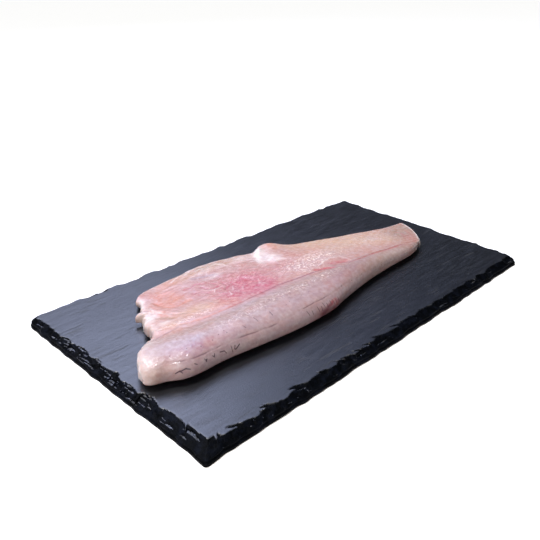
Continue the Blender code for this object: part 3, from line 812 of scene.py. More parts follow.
# The steep wall below the scars, and how far its line wanders in and out
WALL_STEPS = 7
WALL_SHARE = 0.34
WALL_ROUGHNESS = 0.5 * MM
WALL_WANDER = 1.5 * MM
# Noise as (height, size of its bumps, seed): the wall's as shares of those two lengths, the scars' as lengths
WALL_WAVES = ((0.5, 22 * MM, 33.0), (0.5, 8 * MM, 35.0))
WALL_BUMPS = (0.5, 5 * MM, 61.0)
SCAR_WAVES = ((0.9 * MM, 6 * MM, 71.0), (0.6 * MM, 2.2 * MM, 73.0))
SCAR_BUMPS = ((0.10 * MM, 1.6 * MM, 19.0), (0.18 * MM, 5 * MM, 27.0))
# The wall's line is calm up to the first of these distances from the near corner, and free from the second on
WALL_CALM = (3 * MM, 16 * MM)
# The wall's noise is this many times as fine upwards
WALL_SQUEEZE = 3
# Flake scars round the edge, in tiers: (shortest and longest, least and most reach as shares of the band's
# width, least and most slope, share of that reach on the near side). On the near side they are pointed and
# lean along the board's grain
SCARS = (
    ((11.0 * MM, 26.0 * MM), (0.72, 1.00), (0.32, 0.52), 1.00),
    ((5.0 * MM, 12.0 * MM), (0.45, 0.95), (0.45, 0.90), 0.95),
    ((2.0 * MM, 6.0 * MM), (0.25, 0.70), (0.70, 1.50), 0.85),
    ((0.8 * MM, 2.6 * MM), (0.15, 0.45), (1.00, 2.20), 0.50),
)
SCAR_LEAN = 2.0
SCAR_SEED = 52
SCAR_STEP = 0.22 * MM
SCAR_STEP_RUN = 0.35 * MM
# A pointed scar's least reach and how it bends, and a rounded one's least reach, as shares of the most
POINTED_LEAST = 0.22
POINTED_BEND = 1.3
ROUNDED_LEAST = 0.62
# How far from its two corners the near side's own kind of scars is full
NEAR_SIDE_BLEND = 12 * MM
# Least height of the scars' floor above the wall, as a share of the distance in from the edge
FLOOR_SLOPE = 0.42
# Width of the scarred band at each corner, from the far right one round: it is widest at the near one
BAND_WIDTHS = (8.5 * MM, 4.5 * MM, 6.5 * MM, 15.5 * MM)
# Flat ledges left in the scars: how many on the left end and on the rest, half-lengths, places as shares of
# the band from the edge in, and widths
LEDGE_COUNTS = (54, 60)
LEDGE_HALVES = (1.5 * MM, 8.0 * MM)
LEDGE_PLACES = (0.14, 0.80)
LEDGE_WIDTHS = (0.5 * MM, 1.8 * MM)
LEDGE_SEED = 8
# Below 1, more of them lie towards the end of each stretch
LEDGE_SPREAD = 0.8
# How far they keep from the near corner
LEDGE_CLEARANCE = 12.0 * MM
# The long ledge beside the near corner: (distance from the corner, half-length, place, width)
CORNER_LEDGE = (14.0 * MM, 8.0 * MM, 0.42, 2.2 * MM)
TOP_RING_INSET = 21.0 * MM
TOP_GRID_GAP = 1.2 * MM
TOP_GRID = (136, 66)
BAND_RINGS = 42
# Above 1, the band's rings are closer together at the edge
RING_CROWDING = 1.5
# The top's unevenness: its depth, and as shares of it (height, size of its bumps, seed, stretch)
RIVEN_DEPTH = 0.14 * MM
RIVEN_WAVES = ((0.55, 46 * MM, 2.0, (0.6, 1.2, 1.0)), (0.22, 5 * MM, 9.0, (0.22, 1.0, 1.0)))
# Its low steps: their noise, where each starts to rise, and their share of the depth
RIVEN_TERRACES = (4.0, 60 * MM, 14.0, (0.5, 1.3, 1.0))
TERRACE_RISE = 0.80
TERRACE_HEIGHT = 0.22
# The share of the band over which the top's unevenness starts
RIVEN_START = 0.3
# The edge is fully rough this far below the top, and between these two depths it turns from top to broken
ROUGH_DEPTH = 0.4 * MM
BROKEN_DEPTHS = (0.05 * MM, 0.25 * MM)
# A face is broken where more than this share of its corners is, and a ledge if it also looks up this much
BROKEN_SHARE = 0.5
LEDGE_UPRIGHTNESS = 0.970
MERGE_DISTANCE = 0.001 * MM
SHARP_ANGLE = math.radians(30)


def board_ring(inset_x, inset_y):
    """Points round the board's rectangle, set in this far: places, outward directions and room to cut in."""
    places = []
    outs = []
    rooms = []
    corners = []
    for i, (side_x, side_y) in enumerate(((1, -1), (1, 1), (-1, 1), (-1, -1))):
        radius = max(CORNER_RADII[i] - min(inset_x, inset_y), SMALLEST_RADIUS)
        half = np.array((BOARD_LENGTH / 2 - inset_x - radius, BOARD_WIDTH / 2 - inset_y - radius))
        corners.append((half * (side_x, side_y), radius, math.radians(90 * (i - 1))))
    for i, (middle, radius, start) in enumerate(corners):
        angles = start + np.linspace(0, math.pi / 2, CORNER_STEPS + 1)
        out = np.column_stack((np.cos(angles), np.sin(angles)))
        places.append(middle + radius * out)
        outs.append(out)
        rooms.append(np.full(len(out), CORNER_ROOM * radius))
        next_middle, next_radius, next_start = corners[(i + 1) % 4]
        side_out = np.array((math.cos(next_start), math.sin(next_start)))
        begin = places[-1][-1]
        end = next_middle + next_radius * side_out
        t = (np.arange(1, SIDE_STEPS[i]) / SIDE_STEPS[i])[:, None]
        places.append(begin + (end - begin) * t)
        outs.append(np.repeat(side_out[None], SIDE_STEPS[i] - 1, axis=0))
        rooms.append(np.full(SIDE_STEPS[i] - 1, BOARD_WIDTH))
    return np.vstack(places), np.vstack(outs), np.concatenate(rooms)


def chip_bite(place, length):
    """How deep the large chips bite at each place along the edge."""
    draw = random.Random(CHIP_SEED)
    deepest = np.zeros(len(place))
    for i in range(CHIP_COUNT):
        middle = (i + draw.uniform(-0.4, 0.4)) / CHIP_COUNT * length
        width = draw.uniform(*CHIP_WIDTHS)
        depth = draw.uniform(*CHIP_DEPTHS)
        away = np.abs((place - middle + length / 2) % length - length / 2)
        deepest = np.maximum(deepest, depth * (1 - (away / width) ** 2))
    return deepest


def riven_height(points):
    """The top's own unevenness where the slate was split: long low steps along its grain."""
    terrace = unevenness(points, RIVEN_TERRACES)
    step = np.floor(terrace) + smooth(TERRACE_RISE, 1.0, terrace - np.floor(terrace))
    return RIVEN_DEPTH * (unevenness(points, *RIVEN_WAVES) + TERRACE_HEIGHT * (step - terrace))


def edge_places():
    """Each edge point's place along the edge, the edge's length, and each corner's place."""
    edge = board_ring(0.0, 0.0)[0]
    step = np.linalg.norm(np.roll(edge, -1, axis=0) - edge, axis=1)
    place = np.concatenate(((0.0,), np.cumsum(step)[:-1]))
    corners = []
    first = 0
    for i in range(4):
        corners.append(place[first + CORNER_STEPS // 2])
        first += CORNER_STEPS + SIDE_STEPS[i]
    return place, step.sum(), corners


def wall_rings(place, bite):
    """The steep lower part of the edge, as rings from the underside up."""
    levels = np.array(EDGE_LEVELS)
    flat = np.column_stack((board_ring(0.0, 0.0)[0], np.zeros(len(place))))
    wander = WALL_WANDER * (0.5 + unevenness(flat, *WALL_WAVES))
    wander = wander * smooth(*WALL_CALM, np.linalg.norm(flat - flat.min(axis=0), axis=1))
    rings = []
    for share in np.linspace(0, WALL_SHARE, WALL_STEPS):
        run = np.interp(share, levels[:, 0], levels[:, 1])
        ring, out, room = board_ring(run * BEVEL_RUN_AT_ENDS, run * BEVEL_RUN_AT_SIDES)
        lift = flat + (0, 0, share * BOARD_THICKNESS * WALL_SQUEEZE)
        rough = WALL_ROUGHNESS * share / WALL_SHARE * (0.5 + unevenness(lift, WALL_BUMPS))
        cut = np.interp(share, levels[:, 0], levels[:, 2]) * bite + wander + rough
        spot = ring - np.clip(np.minimum(cut, room), 0, None)[:, None] * out
        rings.append(np.column_stack((spot, np.full(len(spot), share * BOARD_THICKNESS))))
    return rings


def bevel_depth(inset, run, bite):
    """How far below the top the edge's own slope is, at this distance in from the edge."""
    share = np.full(len(inset), EDGE_LEVELS[1][0])
    for (low, low_run, low_bite), (high, high_run, high_bite) in zip(EDGE_LEVELS[1:], EDGE_LEVELS[2:]):
        start = low_run * run + low_bite * bite
        end = high_run * run + high_bite * bite
        share = share + (high - low) * np.clip((inset - start) / (end - start), 0, 1)
    return (1 - share) * BOARD_THICKNESS


def scar_depth(place, inset, length, width, near_side):
    """How deep the flake scars cut at each place along the edge and distance in from it."""
    draw = random.Random(SCAR_SEED)
    deepest = np.zeros(len(place))
    leaned = (place + SCAR_LEAN * near_side * inset) % length
    for lengths, reaches, slopes, near_share in SCARS:
        reach = np.zeros(len(place))
        slope = np.ones(len(place))
        start = 0.0
        while start < length:
            size = draw.uniform(*lengths)
            most = draw.uniform(*reaches)
            fall = draw.uniform(*slopes)
            u = (leaned - start) / size
            inside = (u >= 0) & (u < 1)
            pointed = POINTED_LEAST + (1 - POINTED_LEAST) * (1 - u[inside]) ** POINTED_BEND
            rounded = ROUNDED_LEAST + (1 - ROUNDED_LEAST) * np.sqrt(1 - (2 * u[inside] - 1) ** 2)
            reach[inside] = most * (rounded + (near_share * pointed - rounded) * near_side[inside])
            slope[inside] = fall
            start += size
        beyond = reach * width - inset
        depth = SCAR_STEP * smooth(0.0, SCAR_STEP_RUN, beyond) + slope * np.clip(beyond, 0, None)
        deepest = np.maximum(deepest, depth)
    return deepest


def drawn_ledges(corners, length):
    """Every ledge as (place along the edge, half-length, place across the band, width)."""
    draw = random.Random(LEDGE_SEED)
    beside, *size = CORNER_LEDGE
    ledges = []
    left = (corners[2], corners[3] - corners[2] - LEDGE_CLEARANCE)
    rest = (corners[3] + LEDGE_CLEARANCE, length - corners[3] + corners[2] - LEDGE_CLEARANCE)
    for count, (start, reach) in zip(LEDGE_COUNTS, (left, rest)):
        for _ in range(count):
            half = draw.uniform(*LEDGE_HALVES)
            middle = (start + half + (reach - 2 * half) * draw.random() ** LEDGE_SPREAD) % length
            ledges.append((middle, half, draw.uniform(*LEDGE_PLACES), draw.uniform(*LEDGE_WIDTHS)))
    return [*ledges, (corners[3] - beside, *size)]


def cut_ledge(heights, insets, place, length, band, ledge):
    """Cut one flat ledge into the sloping edge."""
    middle, half, across, width = ledge
    away = (place - middle + length / 2) % length - length / 2
    for column in np.flatnonzero(np.abs(away) < half):
        reach = width * math.sqrt(1 - (away[column] / half) ** 2)
        start = across * band[column]
        flat = (insets[:, column] > start) & (insets[:, column] < start + reach)
        if flat.any():
            heights[flat, column] = heights[flat, column].min()


def board_rings(roughness):
    """Rings of points from the underside's edge, up the wall and in over the scars and the top's border."""
    place, length, corners = edge_places()
    bite = chip_bite(place, length)
    rings = wall_rings(place, bite)
    edge, out, _ = board_ring(0.0, 0.0)
    lip = rings[-1][:, :2]
    lip_inset = np.linalg.norm(lip - edge, axis=1)
    inner = board_ring(TOP_RING_INSET, TOP_RING_INSET)[0]
    run = BEVEL_RUN_AT_ENDS * out[:, 0] ** 2 + BEVEL_RUN_AT_SIDES * out[:, 1] ** 2
    stops = np.array(corners + [corners[0] + length])
    width = np.interp((place - stops[0]) % length + stops[0], stops, BAND_WIDTHS + BAND_WIDTHS[:1])
    near_side = smooth(0, NEAR_SIDE_BLEND, place - corners[3]) * smooth(0, NEAR_SIDE_BLEND, length - place)
    insets = []
    heights = []
    roughs = []
    rises = []
    for k in range(1, BAND_RINGS + 1):
        t = (k / BAND_RINGS) ** RING_CROWDING
        ring = np.column_stack((lip + (inner - lip) * t, np.full(len(lip), BOARD_THICKNESS)))
        inset = lip_inset + (TOP_RING_INSET - lip_inset) * t
        wave = unevenness(ring, *SCAR_WAVES) * smooth(0, 2 * MM, inset)
        depth = scar_depth(place, inset + wave, length, width, near_side)
        depth = np.maximum(depth, bevel_depth(inset, run, bite)) * roughness
        insets.append(inset)
        heights.append(BOARD_THICKNESS - depth)
        roughs.append(unevenness(ring, *SCAR_BUMPS))
        rises.append(smooth(0, RIVEN_START, t) * riven_height(ring))
        rings.append(ring)
    insets = np.array(insets)
    heights = np.array(heights)
    heights = np.maximum(heights, WALL_SHARE * BOARD_THICKNESS + FLOOR_SLOPE * insets)
    heights = np.minimum(heights, BOARD_THICKNESS)
    for ledge in drawn_ledges(corners, length):
        cut_ledge(heights, insets, place, length, width + lip_inset, ledge)
    heights += np.array(roughs) * smooth(0, ROUGH_DEPTH, BOARD_THICKNESS - heights)
    broken = smooth(*BROKEN_DEPTHS, BOARD_THICKNESS - heights)
    rings = np.array(rings)
    rings[WALL_STEPS:, :, 2] = heights + np.array(rises)
    return rings, np.vstack((np.ones((WALL_STEPS, len(place))), broken))


def joined_board(rings, broken):
    """The band of rings, closed below, and a grid for the middle of the top bridged into it."""
    levels, around = rings.shape[:2]
    rings = np.concatenate((rings, rings[:, :1]), axis=1)
    broken = np.concatenate((broken, broken[:, :1]), axis=1)
    bpy.ops.object.select_all(action="DESELECT")
    bpy.ops.mesh.primitive_grid_add(x_subdivisions=around, y_subdivisions=levels - 1, size=1)
    band = bpy.context.active_object
    place_points(band, rings.reshape(-1, 3))
    store(band, "broken", broken.ravel())
    bpy.ops.object.mode_set(mode="EDIT")
    bpy.ops.mesh.select_all(action="SELECT")
    bpy.ops.mesh.remove_doubles(threshold=MERGE_DISTANCE)
    bpy.ops.mesh.select_all(action="DESELECT")
    bpy.ops.object.mode_set(mode="OBJECT")
    low = points_of(band)[:, 2] < MERGE_DISTANCE
    band.data.vertices.foreach_set("select", low)
    bpy.ops.object.mode_set(mode="EDIT")
    bpy.ops.mesh.select_mode(type="VERT")
    bpy.ops.mesh.edge_face_add()
    bpy.ops.object.mode_set(mode="OBJECT")
    inset = TOP_RING_INSET + TOP_GRID_GAP
    bpy.ops.object.select_all(action="DESELECT")
    bpy.ops.mesh.primitive_grid_add(x_subdivisions=TOP_GRID[0], y_subdivisions=TOP_GRID[1], size=1)
    top = bpy.context.active_object
    points = points_of(top) * (BOARD_LENGTH - 2 * inset, BOARD_WIDTH - 2 * inset, 1)
    points[:, 2] = BOARD_THICKNESS + riven_height(points)
    place_points(top, points)
    store(top, "broken", np.zeros(len(points)))
    band.select_set(True)
    bpy.context.view_layer.objects.active = band
    bpy.ops.object.join()
    board = bpy.context.active_object
    bpy.ops.object.mode_set(mode="EDIT")
    bpy.ops.mesh.select_mode(type="EDGE")
    bpy.ops.mesh.select_all(action="DESELECT")
    bpy.ops.mesh.select_non_manifold(
        extend=False, use_wire=False, use_multi_face=False, use_non_contiguous=False
    )
    bpy.ops.mesh.bridge_edge_loops()
    bpy.ops.mesh.select_all(action="SELECT")
    bpy.ops.mesh.normals_make_consistent(inside=False)
    bpy.ops.object.mode_set(mode="OBJECT")
    return board


def make_board(look):
    """The slate: an edge broken all round, a riven top and a flat underside, in three finishes."""
    board = joined_board(*board_rings(look.chipping))
    board.name = board.data.name = "slate_slab"
    bpy.ops.object.shade_smooth_by_angle(angle=SHARP_ANGLE)
    board.data.materials.clear()
    for finish in (riven_slate, split_slate, broken_slate):
        board.data.materials.append(new_material(finish, look))
    broken = np.empty(len(board.data.vertices), np.float32)
    board.data.attributes["broken"].data.foreach_get("value", broken)
    near_corner = Vector((-BOARD_LENGTH / 2, -BOARD_WIDTH / 2))
    finishes = []
    for face in board.data.polygons:
        split = broken[list(face.vertices)].mean() > BROKEN_SHARE
        clear = (face.center.xy - near_corner).length > LEDGE_CLEARANCE
        upright = clear and face.normal.z > LEDGE_UPRIGHTNESS
        finishes.append((1 if upright else 2) if split else 0)
    board.data.polygons.foreach_set("material_index", finishes)
    return board


def linear(text):
    """An sRGB hex colour as linear red, green and blue."""
    parts = [int(text[k : k + 2], 16) / 255 for k in (1, 3, 5)]
    return tuple(p / 12.92 if p <= 0.04045 else ((p + 0.055) / 1.055) ** 2.4 for p in parts)


# A Mix node's sockets share their names, so they go by number: its share, its two colours and its result
MIX_SHARE = 0
MIX_LOW = 6
MIX_HIGH = 7
MIX_RESULT = 2


def node(tree, kind, inputs, output=0, **settings):
    """Add a shader node with its settings, and its inputs as values or links, and give one of its outputs."""
    made = tree.nodes.new("ShaderNode" + kind)
    for name, value in settings.items():
        setattr(made, name, value)
    for name, value in inputs.items():
        socket = made.inputs[name]
        if isinstance(value, bpy.types.NodeSocket):
            tree.links.new(value, socket)
        elif socket.type == "RGBA":
            socket.default_value = (*value, 1.0)
        else:
            socket.default_value = value
    return made.outputs[output] if made.outputs else None


def new_material(finish, *look):
    """A material named for its finish: a function that gives the surface shader's inputs."""
    material = bpy.data.materials.new(finish.__name__)
    material.use_nodes = True
    tree = material.node_tree
    tree.nodes.clear()
    place = node(tree, "TexCoord", {}, "Object")
    surface = node(tree, "BsdfPrincipled", finish(tree, place, *look))
    node(tree, "OutputMaterial", {"Surface": surface})
    return material


def raw_zander_flesh(tree, place, look):
    """Raw white fish muscle under a wet film.

    Light sinks in and comes back soft, and the film gives the gleam.
    """
    names = (*PATCHES, "loin", "flank", "torn", "crease", "hairs")
    weights = {name: node(tree, "Attribute", {}, "Fac", attribute_name=name) for name in names}
    along = node(tree, "Mapping", {"Vector": place, "Scale": (0.5, 1.0, 1.0)})
    turned = node(tree, "Mapping", {"Vector": place, "Rotation": (0, 0, math.radians(-24))})
    leaning = node(tree, "Mapping", {"Vector": turned, "Scale": (0.20, 1.0, 1.0)})
    mottle, blotch, fine, fibre, curl, fleck, wet = (
        node(tree, "TexNoise", {"Vector": drawn, "Scale": 1 / size, "Detail": detail, "Distortion": bend})
        for drawn, size, detail, bend in (
            # Mottling in the muscle, over larger blotches
            (place, 3 * MM, 5.0, 0.0),
            (place, 11 * MM, 4.0, 0.0),
            # The muscle's own fine grain, drawn as coarse as it needs to show
            (along, 1.4 * MM, 3.0, 0.0),
            # Fibres that lean across the flap beside the pink, as coarse as they need to show
            (leaning, 1.6 * MM, 3.0, 0.4),
            # Lumps that the curled shreds of membrane go round
            (turned, 4.5 * MM, 2.0, 1.2),
            # Fine flakes, as coarse as they need to show: painted highlights on their raised edges and
            # painted shade in the gaps between them
            (place, 1.7 * MM, 4.0, 0.8),
            # Droplets and film of the wet surface
            (place, 3.2 * MM, 5.0, 0.0),
        )
    )
    # The shreds are thin pale lines where the lumps' noise passes its middle
    shred = node(tree, "Math", {0: curl, 1: 0.5}, operation="SUBTRACT")
    shred = node(tree, "Math", {0: shred}, operation="ABSOLUTE")
    shred = {"Value": shred, "From Min": 0.0, "From Max": 0.022, "To Min": 0.32, "To Max": 0.0}
    shred = node(tree, "MapRange", shred)
    shred = node(tree, "Math", {0: shred, 1: weights["torn"]}, operation="MULTIPLY")
    # Layers of colour from the lowest up: (pattern, where it starts and is full, most, where it shows, tint)
    colour = look.muscle
    # Beside the flesh's own colours, some layers paint light: shade in the valley, on three stretches of the
    # loin, on the tail's near half, in the fold's hollows and in the flakes' gaps; highlights below the bump,
    # on the fold, along a shred, on the bruise's rim, as glints in the pink and on the flakes' edges; and a
    # partly painted sheen in the film
    for pattern, start, full, most, shown, tint in (
        (weights["loin"], 0, 1, 0.85, 1, look.silverskin),
        (weights["flank"], 0, 1, 0.85, 1, look.flank),
        (weights["film"], 0, 1, 0.90, 1, look.film),
        (weights["pink"], 0, 1, 1, 1, look.pink),
        (weights["peach"], 0, 1, 1, 1, look.peach),
        (weights["cream"], 0, 1, 1, 1, look.cream),
        (weights["grey"], 0, 1, 1, 1, look.grey),
        (weights["white"], 0, 1, 1, 1, look.white),
        (weights["blood"], 0, 1, 1, 1, look.blood),
        (mottle, 0.38, 0.72, 0.26, 1, look.white),
        (blotch, 0.50, 0.70, 0.22, 1, look.flank),
        (blotch, 0.50, 0.34, 0.14, 1, look.peach),
        (fine, 0.50, 0.70, 0.30, 1, look.flank),
        (fibre, 0.50, 0.70, 0.42, weights["strands"], look.strand),
        (shred, 0, 1, 1, 1, look.white),
        # Painted shade in the flakes' gaps, then painted highlights on their raised edges, partly pale flecks
        # of fat
        (fleck, 0.50, 0.36, 0.75, weights["flakes"], look.flank),
        (fleck, 0.52, 0.62, 0.95, weights["flakes"], look.fleck),
        (weights["crease"], 0, 1, 0.80, 1, look.crease),
        (weights["hairs"], 0.80, 0.96, 0.92, 1, look.pigment),
    ):
        share = {"Value": pattern, "From Min": start, "From Max": full, "To Max": most}
        share = node(tree, "MapRange", share)
        share = node(tree, "Math", {0: share, 1: shown}, operation="MULTIPLY")
        colour = {MIX_SHARE: share, MIX_LOW: colour, MIX_HIGH: tint}
        colour = node(tree, "Mix", colour, MIX_RESULT, data_type="RGBA")
    lump = node(tree, "Math", {0: fleck, 1: weights["flakes"]}, operation="MULTIPLY")
    ridge = node(tree, "Math", {0: fibre, 1: weights["strands"]}, operation="MULTIPLY")
    relief = 0.0
    for pattern, height in ((ridge, 1.0), (lump, 2.0), (shred, 1.5), (mottle, 0.8), (fine, -0.6)):
        relief = node(tree, "Math", {0: pattern, 1: height, 2: relief}, operation="MULTIPLY_ADD")
    bump = node(tree, "Bump", {"Height": relief, "Strength": 0.7, "Distance": 0.30 * MM})
    wet = node(tree, "Bump", {"Height": wet, "Strength": 0.9, "Distance": 0.9 * MM, "Normal": bump})
    return {
        "Base Color": colour, "Normal": bump, "Roughness": 0.45, "IOR": 1.36,
        "Subsurface Weight": 0.30, "Subsurface Radius": (1.0, 0.45, 0.35), "Subsurface Scale": 2.2 * MM,
        "Coat Normal": wet, "Coat Weight": 0.85, "Coat Roughness": 0.10, "Coat IOR": 1.34,
    }


def slate_grain(tree, place):
    """Slate's fine grain, 2.2 mm apart and drawn as coarse as it needs to show, and clouds of 24 mm."""
    drawn = node(tree, "Mapping", {"Vector": place, "Scale": (0.12, 1.0, 1.0)})
    line = node(tree, "TexNoise", {"Vector": drawn, "Scale": 1 / (2.2 * MM), "Detail": 6.0})
    return line, node(tree, "TexNoise", {"Vector": drawn, "Scale": 1 / (24 * MM), "Detail": 3.0})


def riven_slate(tree, place, look):
    """Split slate's face: dense blue-grey stone with a fine grain and a satin sheen."""
    line, cloud = slate_grain(tree, place)
    tone = node(tree, "Math", {0: line, 1: cloud}, operation="MULTIPLY")
    share = node(tree, "MapRange", {"Value": tone, "From Min": 0.12, "From Max": 0.42})
    colour = {MIX_SHARE: share, MIX_LOW: look.slate_dark, MIX_HIGH: look.slate}
    colour = node(tree, "Mix", colour, MIX_RESULT, data_type="RGBA")
    # Duller hairline clefts along the grain, in patches, 2.6 mm apart; their darker colour is painted shade
    # in the clefts
    drawn = node(tree, "Mapping", {"Vector": place, "Scale": (0.16, 1.0, 1.0)})
    hair = node(tree, "TexNoise", {"Vector": drawn, "Scale": 1 / (2.6 * MM), "Detail": 2.0})
    hair = node(tree, "MapRange", {"Value": hair, "From Min": 0.59, "From Max": 0.66})
    patchy = node(tree, "MapRange", {"Value": cloud, "From Min": 0.42, "From Max": 0.62, "To Min": 0.10})
    hair = node(tree, "Math", {0: hair, 1: patchy}, operation="MULTIPLY")
    colour = {MIX_SHARE: hair, MIX_LOW: colour, MIX_HIGH: look.broken}
    colour = node(tree, "Mix", colour, MIX_RESULT, data_type="RGBA")
    satin = {"Value": line, "From Min": 0.3, "From Max": 0.7, "To Min": 0.31, "To Max": 0.42}
    satin = node(tree, "MapRange", satin)
    satin = node(tree, "Math", {0: hair, 1: 0.14, 2: satin}, operation="MULTIPLY_ADD")
    # Grit of 0.9 mm, as coarse as it needs to show
    grit = node(tree, "TexNoise", {"Vector": place, "Scale": 1 / (0.9 * MM), "Detail": 4.0})
    height = node(tree, "Math", {0: grit, 1: 0.85, 2: line}, operation="MULTIPLY_ADD")
    height = node(tree, "Math", {0: hair, 1: -0.60, 2: height}, operation="MULTIPLY_ADD")
    bump = node(tree, "Bump", {"Height": height, "Strength": 0.6, "Distance": 0.15 * MM})
    return {"Base Color": colour, "Roughness": satin, "Normal": bump, "IOR": 1.62}


def split_slate(tree, place, look):
    """Freshly split slate on the edge's flat ledges: black, with small glints."""
    line, _ = slate_grain(tree, place)
    share = node(tree, "MapRange", {"Value": line, "From Min": 0.35, "From Max": 0.65})
    colour = {MIX_SHARE: share, MIX_LOW: look.broken, MIX_HIGH: look.slate_dark}
    colour = node(tree, "Mix", colour, MIX_RESULT, data_type="RGBA")
    # Glossy and dull spots of 4 mm, and steps of 2.4 mm
    patchy = node(tree, "TexNoise", {"Vector": place, "Scale": 1 / (4 * MM), "Detail": 2.0})
    gloss = {"Value": patchy, "From Min": 0.35, "From Max": 0.65, "To Min": 0.18, "To Max": 0.75}
    gloss = node(tree, "MapRange", gloss)
    rough = node(tree, "TexNoise", {"Vector": place, "Scale": 1 / (2.4 * MM), "Detail": 3.0})
    bump = node(tree, "Bump", {"Height": rough, "Strength": 0.8, "Distance": 0.9 * MM})
    return {"Base Color": colour, "Roughness": gloss, "Normal": bump, "IOR": 1.6}


def broken_slate(tree, place, look):
    """The broken ends of slate's layers: they face sideways, nearly black; the near-black colour and the very
    low specular are partly painted shade.
    """
    # Facets of 5 mm under grit of 0.9 mm, as coarse as it needs to show; the facets' lighter tone, following
    # the same noise as their bumps, is partly painted shading of them
    grit = node(tree, "TexNoise", {"Vector": place, "Scale": 1 / (0.9 * MM), "Detail": 4.0})
    facet = node(tree, "TexNoise", {"Vector": place, "Scale": 1 / (5 * MM), "Detail": 4.0})
    share = node(tree, "MapRange", {"Value": facet, "From Min": 0.45, "From Max": 0.70})
    colour = {MIX_SHARE: share, MIX_LOW: look.broken, MIX_HIGH: look.slate}
    colour = node(tree, "Mix", colour, MIX_RESULT, data_type="RGBA")
    height = node(tree, "Math", {0: facet, 1: 3.0, 2: grit}, operation="MULTIPLY_ADD")
    bump = node(tree, "Bump", {"Height": height, "Strength": 0.8, "Distance": 0.4 * MM})
    return {"Base Color": colour, "Roughness": 0.5, "Specular IOR Level": 0.025, "Normal": bump}


def matt_white_paper(tree, place):
    """Matt white paper: plain and pale, with a faint tooth of 2 mm and no gloss."""
    tooth = node(tree, "TexNoise", {"Vector": place, "Scale": 1 / (2 * MM)})
    colour = {MIX_SHARE: tooth, MIX_LOW: linear("#fafaf9"), MIX_HIGH: linear("#fdfdfc")}
    colour = node(tree, "Mix", colour, MIX_RESULT, data_type="RGBA")
    return {"Base Color": colour, "Roughness": 0.9, "Specular IOR Level": 0.1}


# The camera's place in metres, angles in radians and lens in mm, from the photograph's perspective
CAMERA_PLACE = (-0.3297, -0.2957, 0.2374)
CAMERA_PAN = 0.7927
CAMERA_DOWN = 0.4610
CAMERA_ROLL = 0.0121
CAMERA_LENS = 42.9
CAMERA_SENSOR = 36
CAMERA_NEAREST = 0.01
# The soft lights: (name, place, size, tint), each aimed at the middle of the board
SOFTBOXES = (
    ("window", (0.06, 0.87, 0.93), (1.2, 0.75), "#d0daff"),
    ("front", (-0.62, -0.44, 0.74), (0.5, 0.4), "#fff6ee"),
    ("side", (0.60, 0.60, 1.05), (1.0, 0.5), "#bccdff"),
)
OVERHEAD_SPREAD = math.radians(16)
OVERHEAD_TURN = (math.radians(-15), math.radians(-6), 0)
FLOOR_SIZE = 24


def set_camera():
    """The camera, where the photograph was taken from."""
    data = bpy.data.cameras.new("camera")
    camera = bpy.data.objects.new("camera", data)
    bpy.context.scene.collection.objects.link(camera)
    ahead = Vector((
        math.sin(CAMERA_PAN) * math.cos(CAMERA_DOWN),
        math.cos(CAMERA_PAN) * math.cos(CAMERA_DOWN),
        -math.sin(CAMERA_DOWN),
    ))
    level = Vector((math.cos(CAMERA_PAN), -math.sin(CAMERA_PAN), 0))
    upright = level.cross(ahead)
    right = level * math.cos(CAMERA_ROLL) + upright * math.sin(CAMERA_ROLL)
    up = upright * math.cos(CAMERA_ROLL) - level * math.sin(CAMERA_ROLL)
    turn = Matrix((right, up, -ahead)).transposed().to_4x4()
    camera.matrix_world = Matrix.Translation(CAMERA_PLACE) @ turn
    data.sensor_width = CAMERA_SENSOR
    data.lens = CAMERA_LENS
    data.clip_start = CAMERA_NEAREST
    bpy.context.scene.camera = camera


def add_light(name, kind, power):
    """A light of this kind and power, at the middle of the scene."""
    light = bpy.data.objects.new(name, bpy.data.lights.new(name, kind))
    light.data.energy = power
    bpy.context.scene.collection.objects.link(light)
    return light


def make_stage(stage):
    """A white floor, lights behind, in front, at the side and above, a pale surround and the camera."""
    bpy.ops.object.select_all(action="DESELECT")
    bpy.ops.mesh.primitive_plane_add(size=FLOOR_SIZE)
    floor = bpy.context.active_object
    floor.name = "studio_floor"
    floor.data.materials.append(new_material(matt_white_paper))
    for name, place, size, tint in SOFTBOXES:
        light = add_light(name, "AREA", getattr(stage, name))
        light.data.shape = "RECTANGLE"
        light.data.size, light.data.size_y = size
        light.data.color = linear(tint)
        light.location = place
        light.rotation_euler = (-light.location).to_track_quat("-Z", "Y").to_euler()
    overhead = add_light("overhead", "SUN", stage.overhead)
    overhead.data.angle = OVERHEAD_SPREAD
    overhead.rotation_euler = OVERHEAD_TURN
    world = bpy.data.worlds.new("surround")
    bpy.context.scene.world = world
    world.use_nodes = True
    sky = world.node_tree.nodes["Background"]
    sky.inputs["Color"].default_value = (1, 1, 1, 1)
    sky.inputs["Strength"].default_value = stage.surround
    bpy.context.scene.view_settings.view_transform = "Standard"
    set_camera()


def colour_property(name, description, text):
    """A colour that a user may change, from its hex value."""
    return bpy.props.FloatVectorProperty(
        name=name, description=description, subtype="COLOR", size=3, min=0.0, max=1.0, default=linear(text)
    )


def number_property(name, description, default, **limits):
    """A number that a user may change."""
    return bpy.props.FloatProperty(name=name, description=description, default=default, **limits)


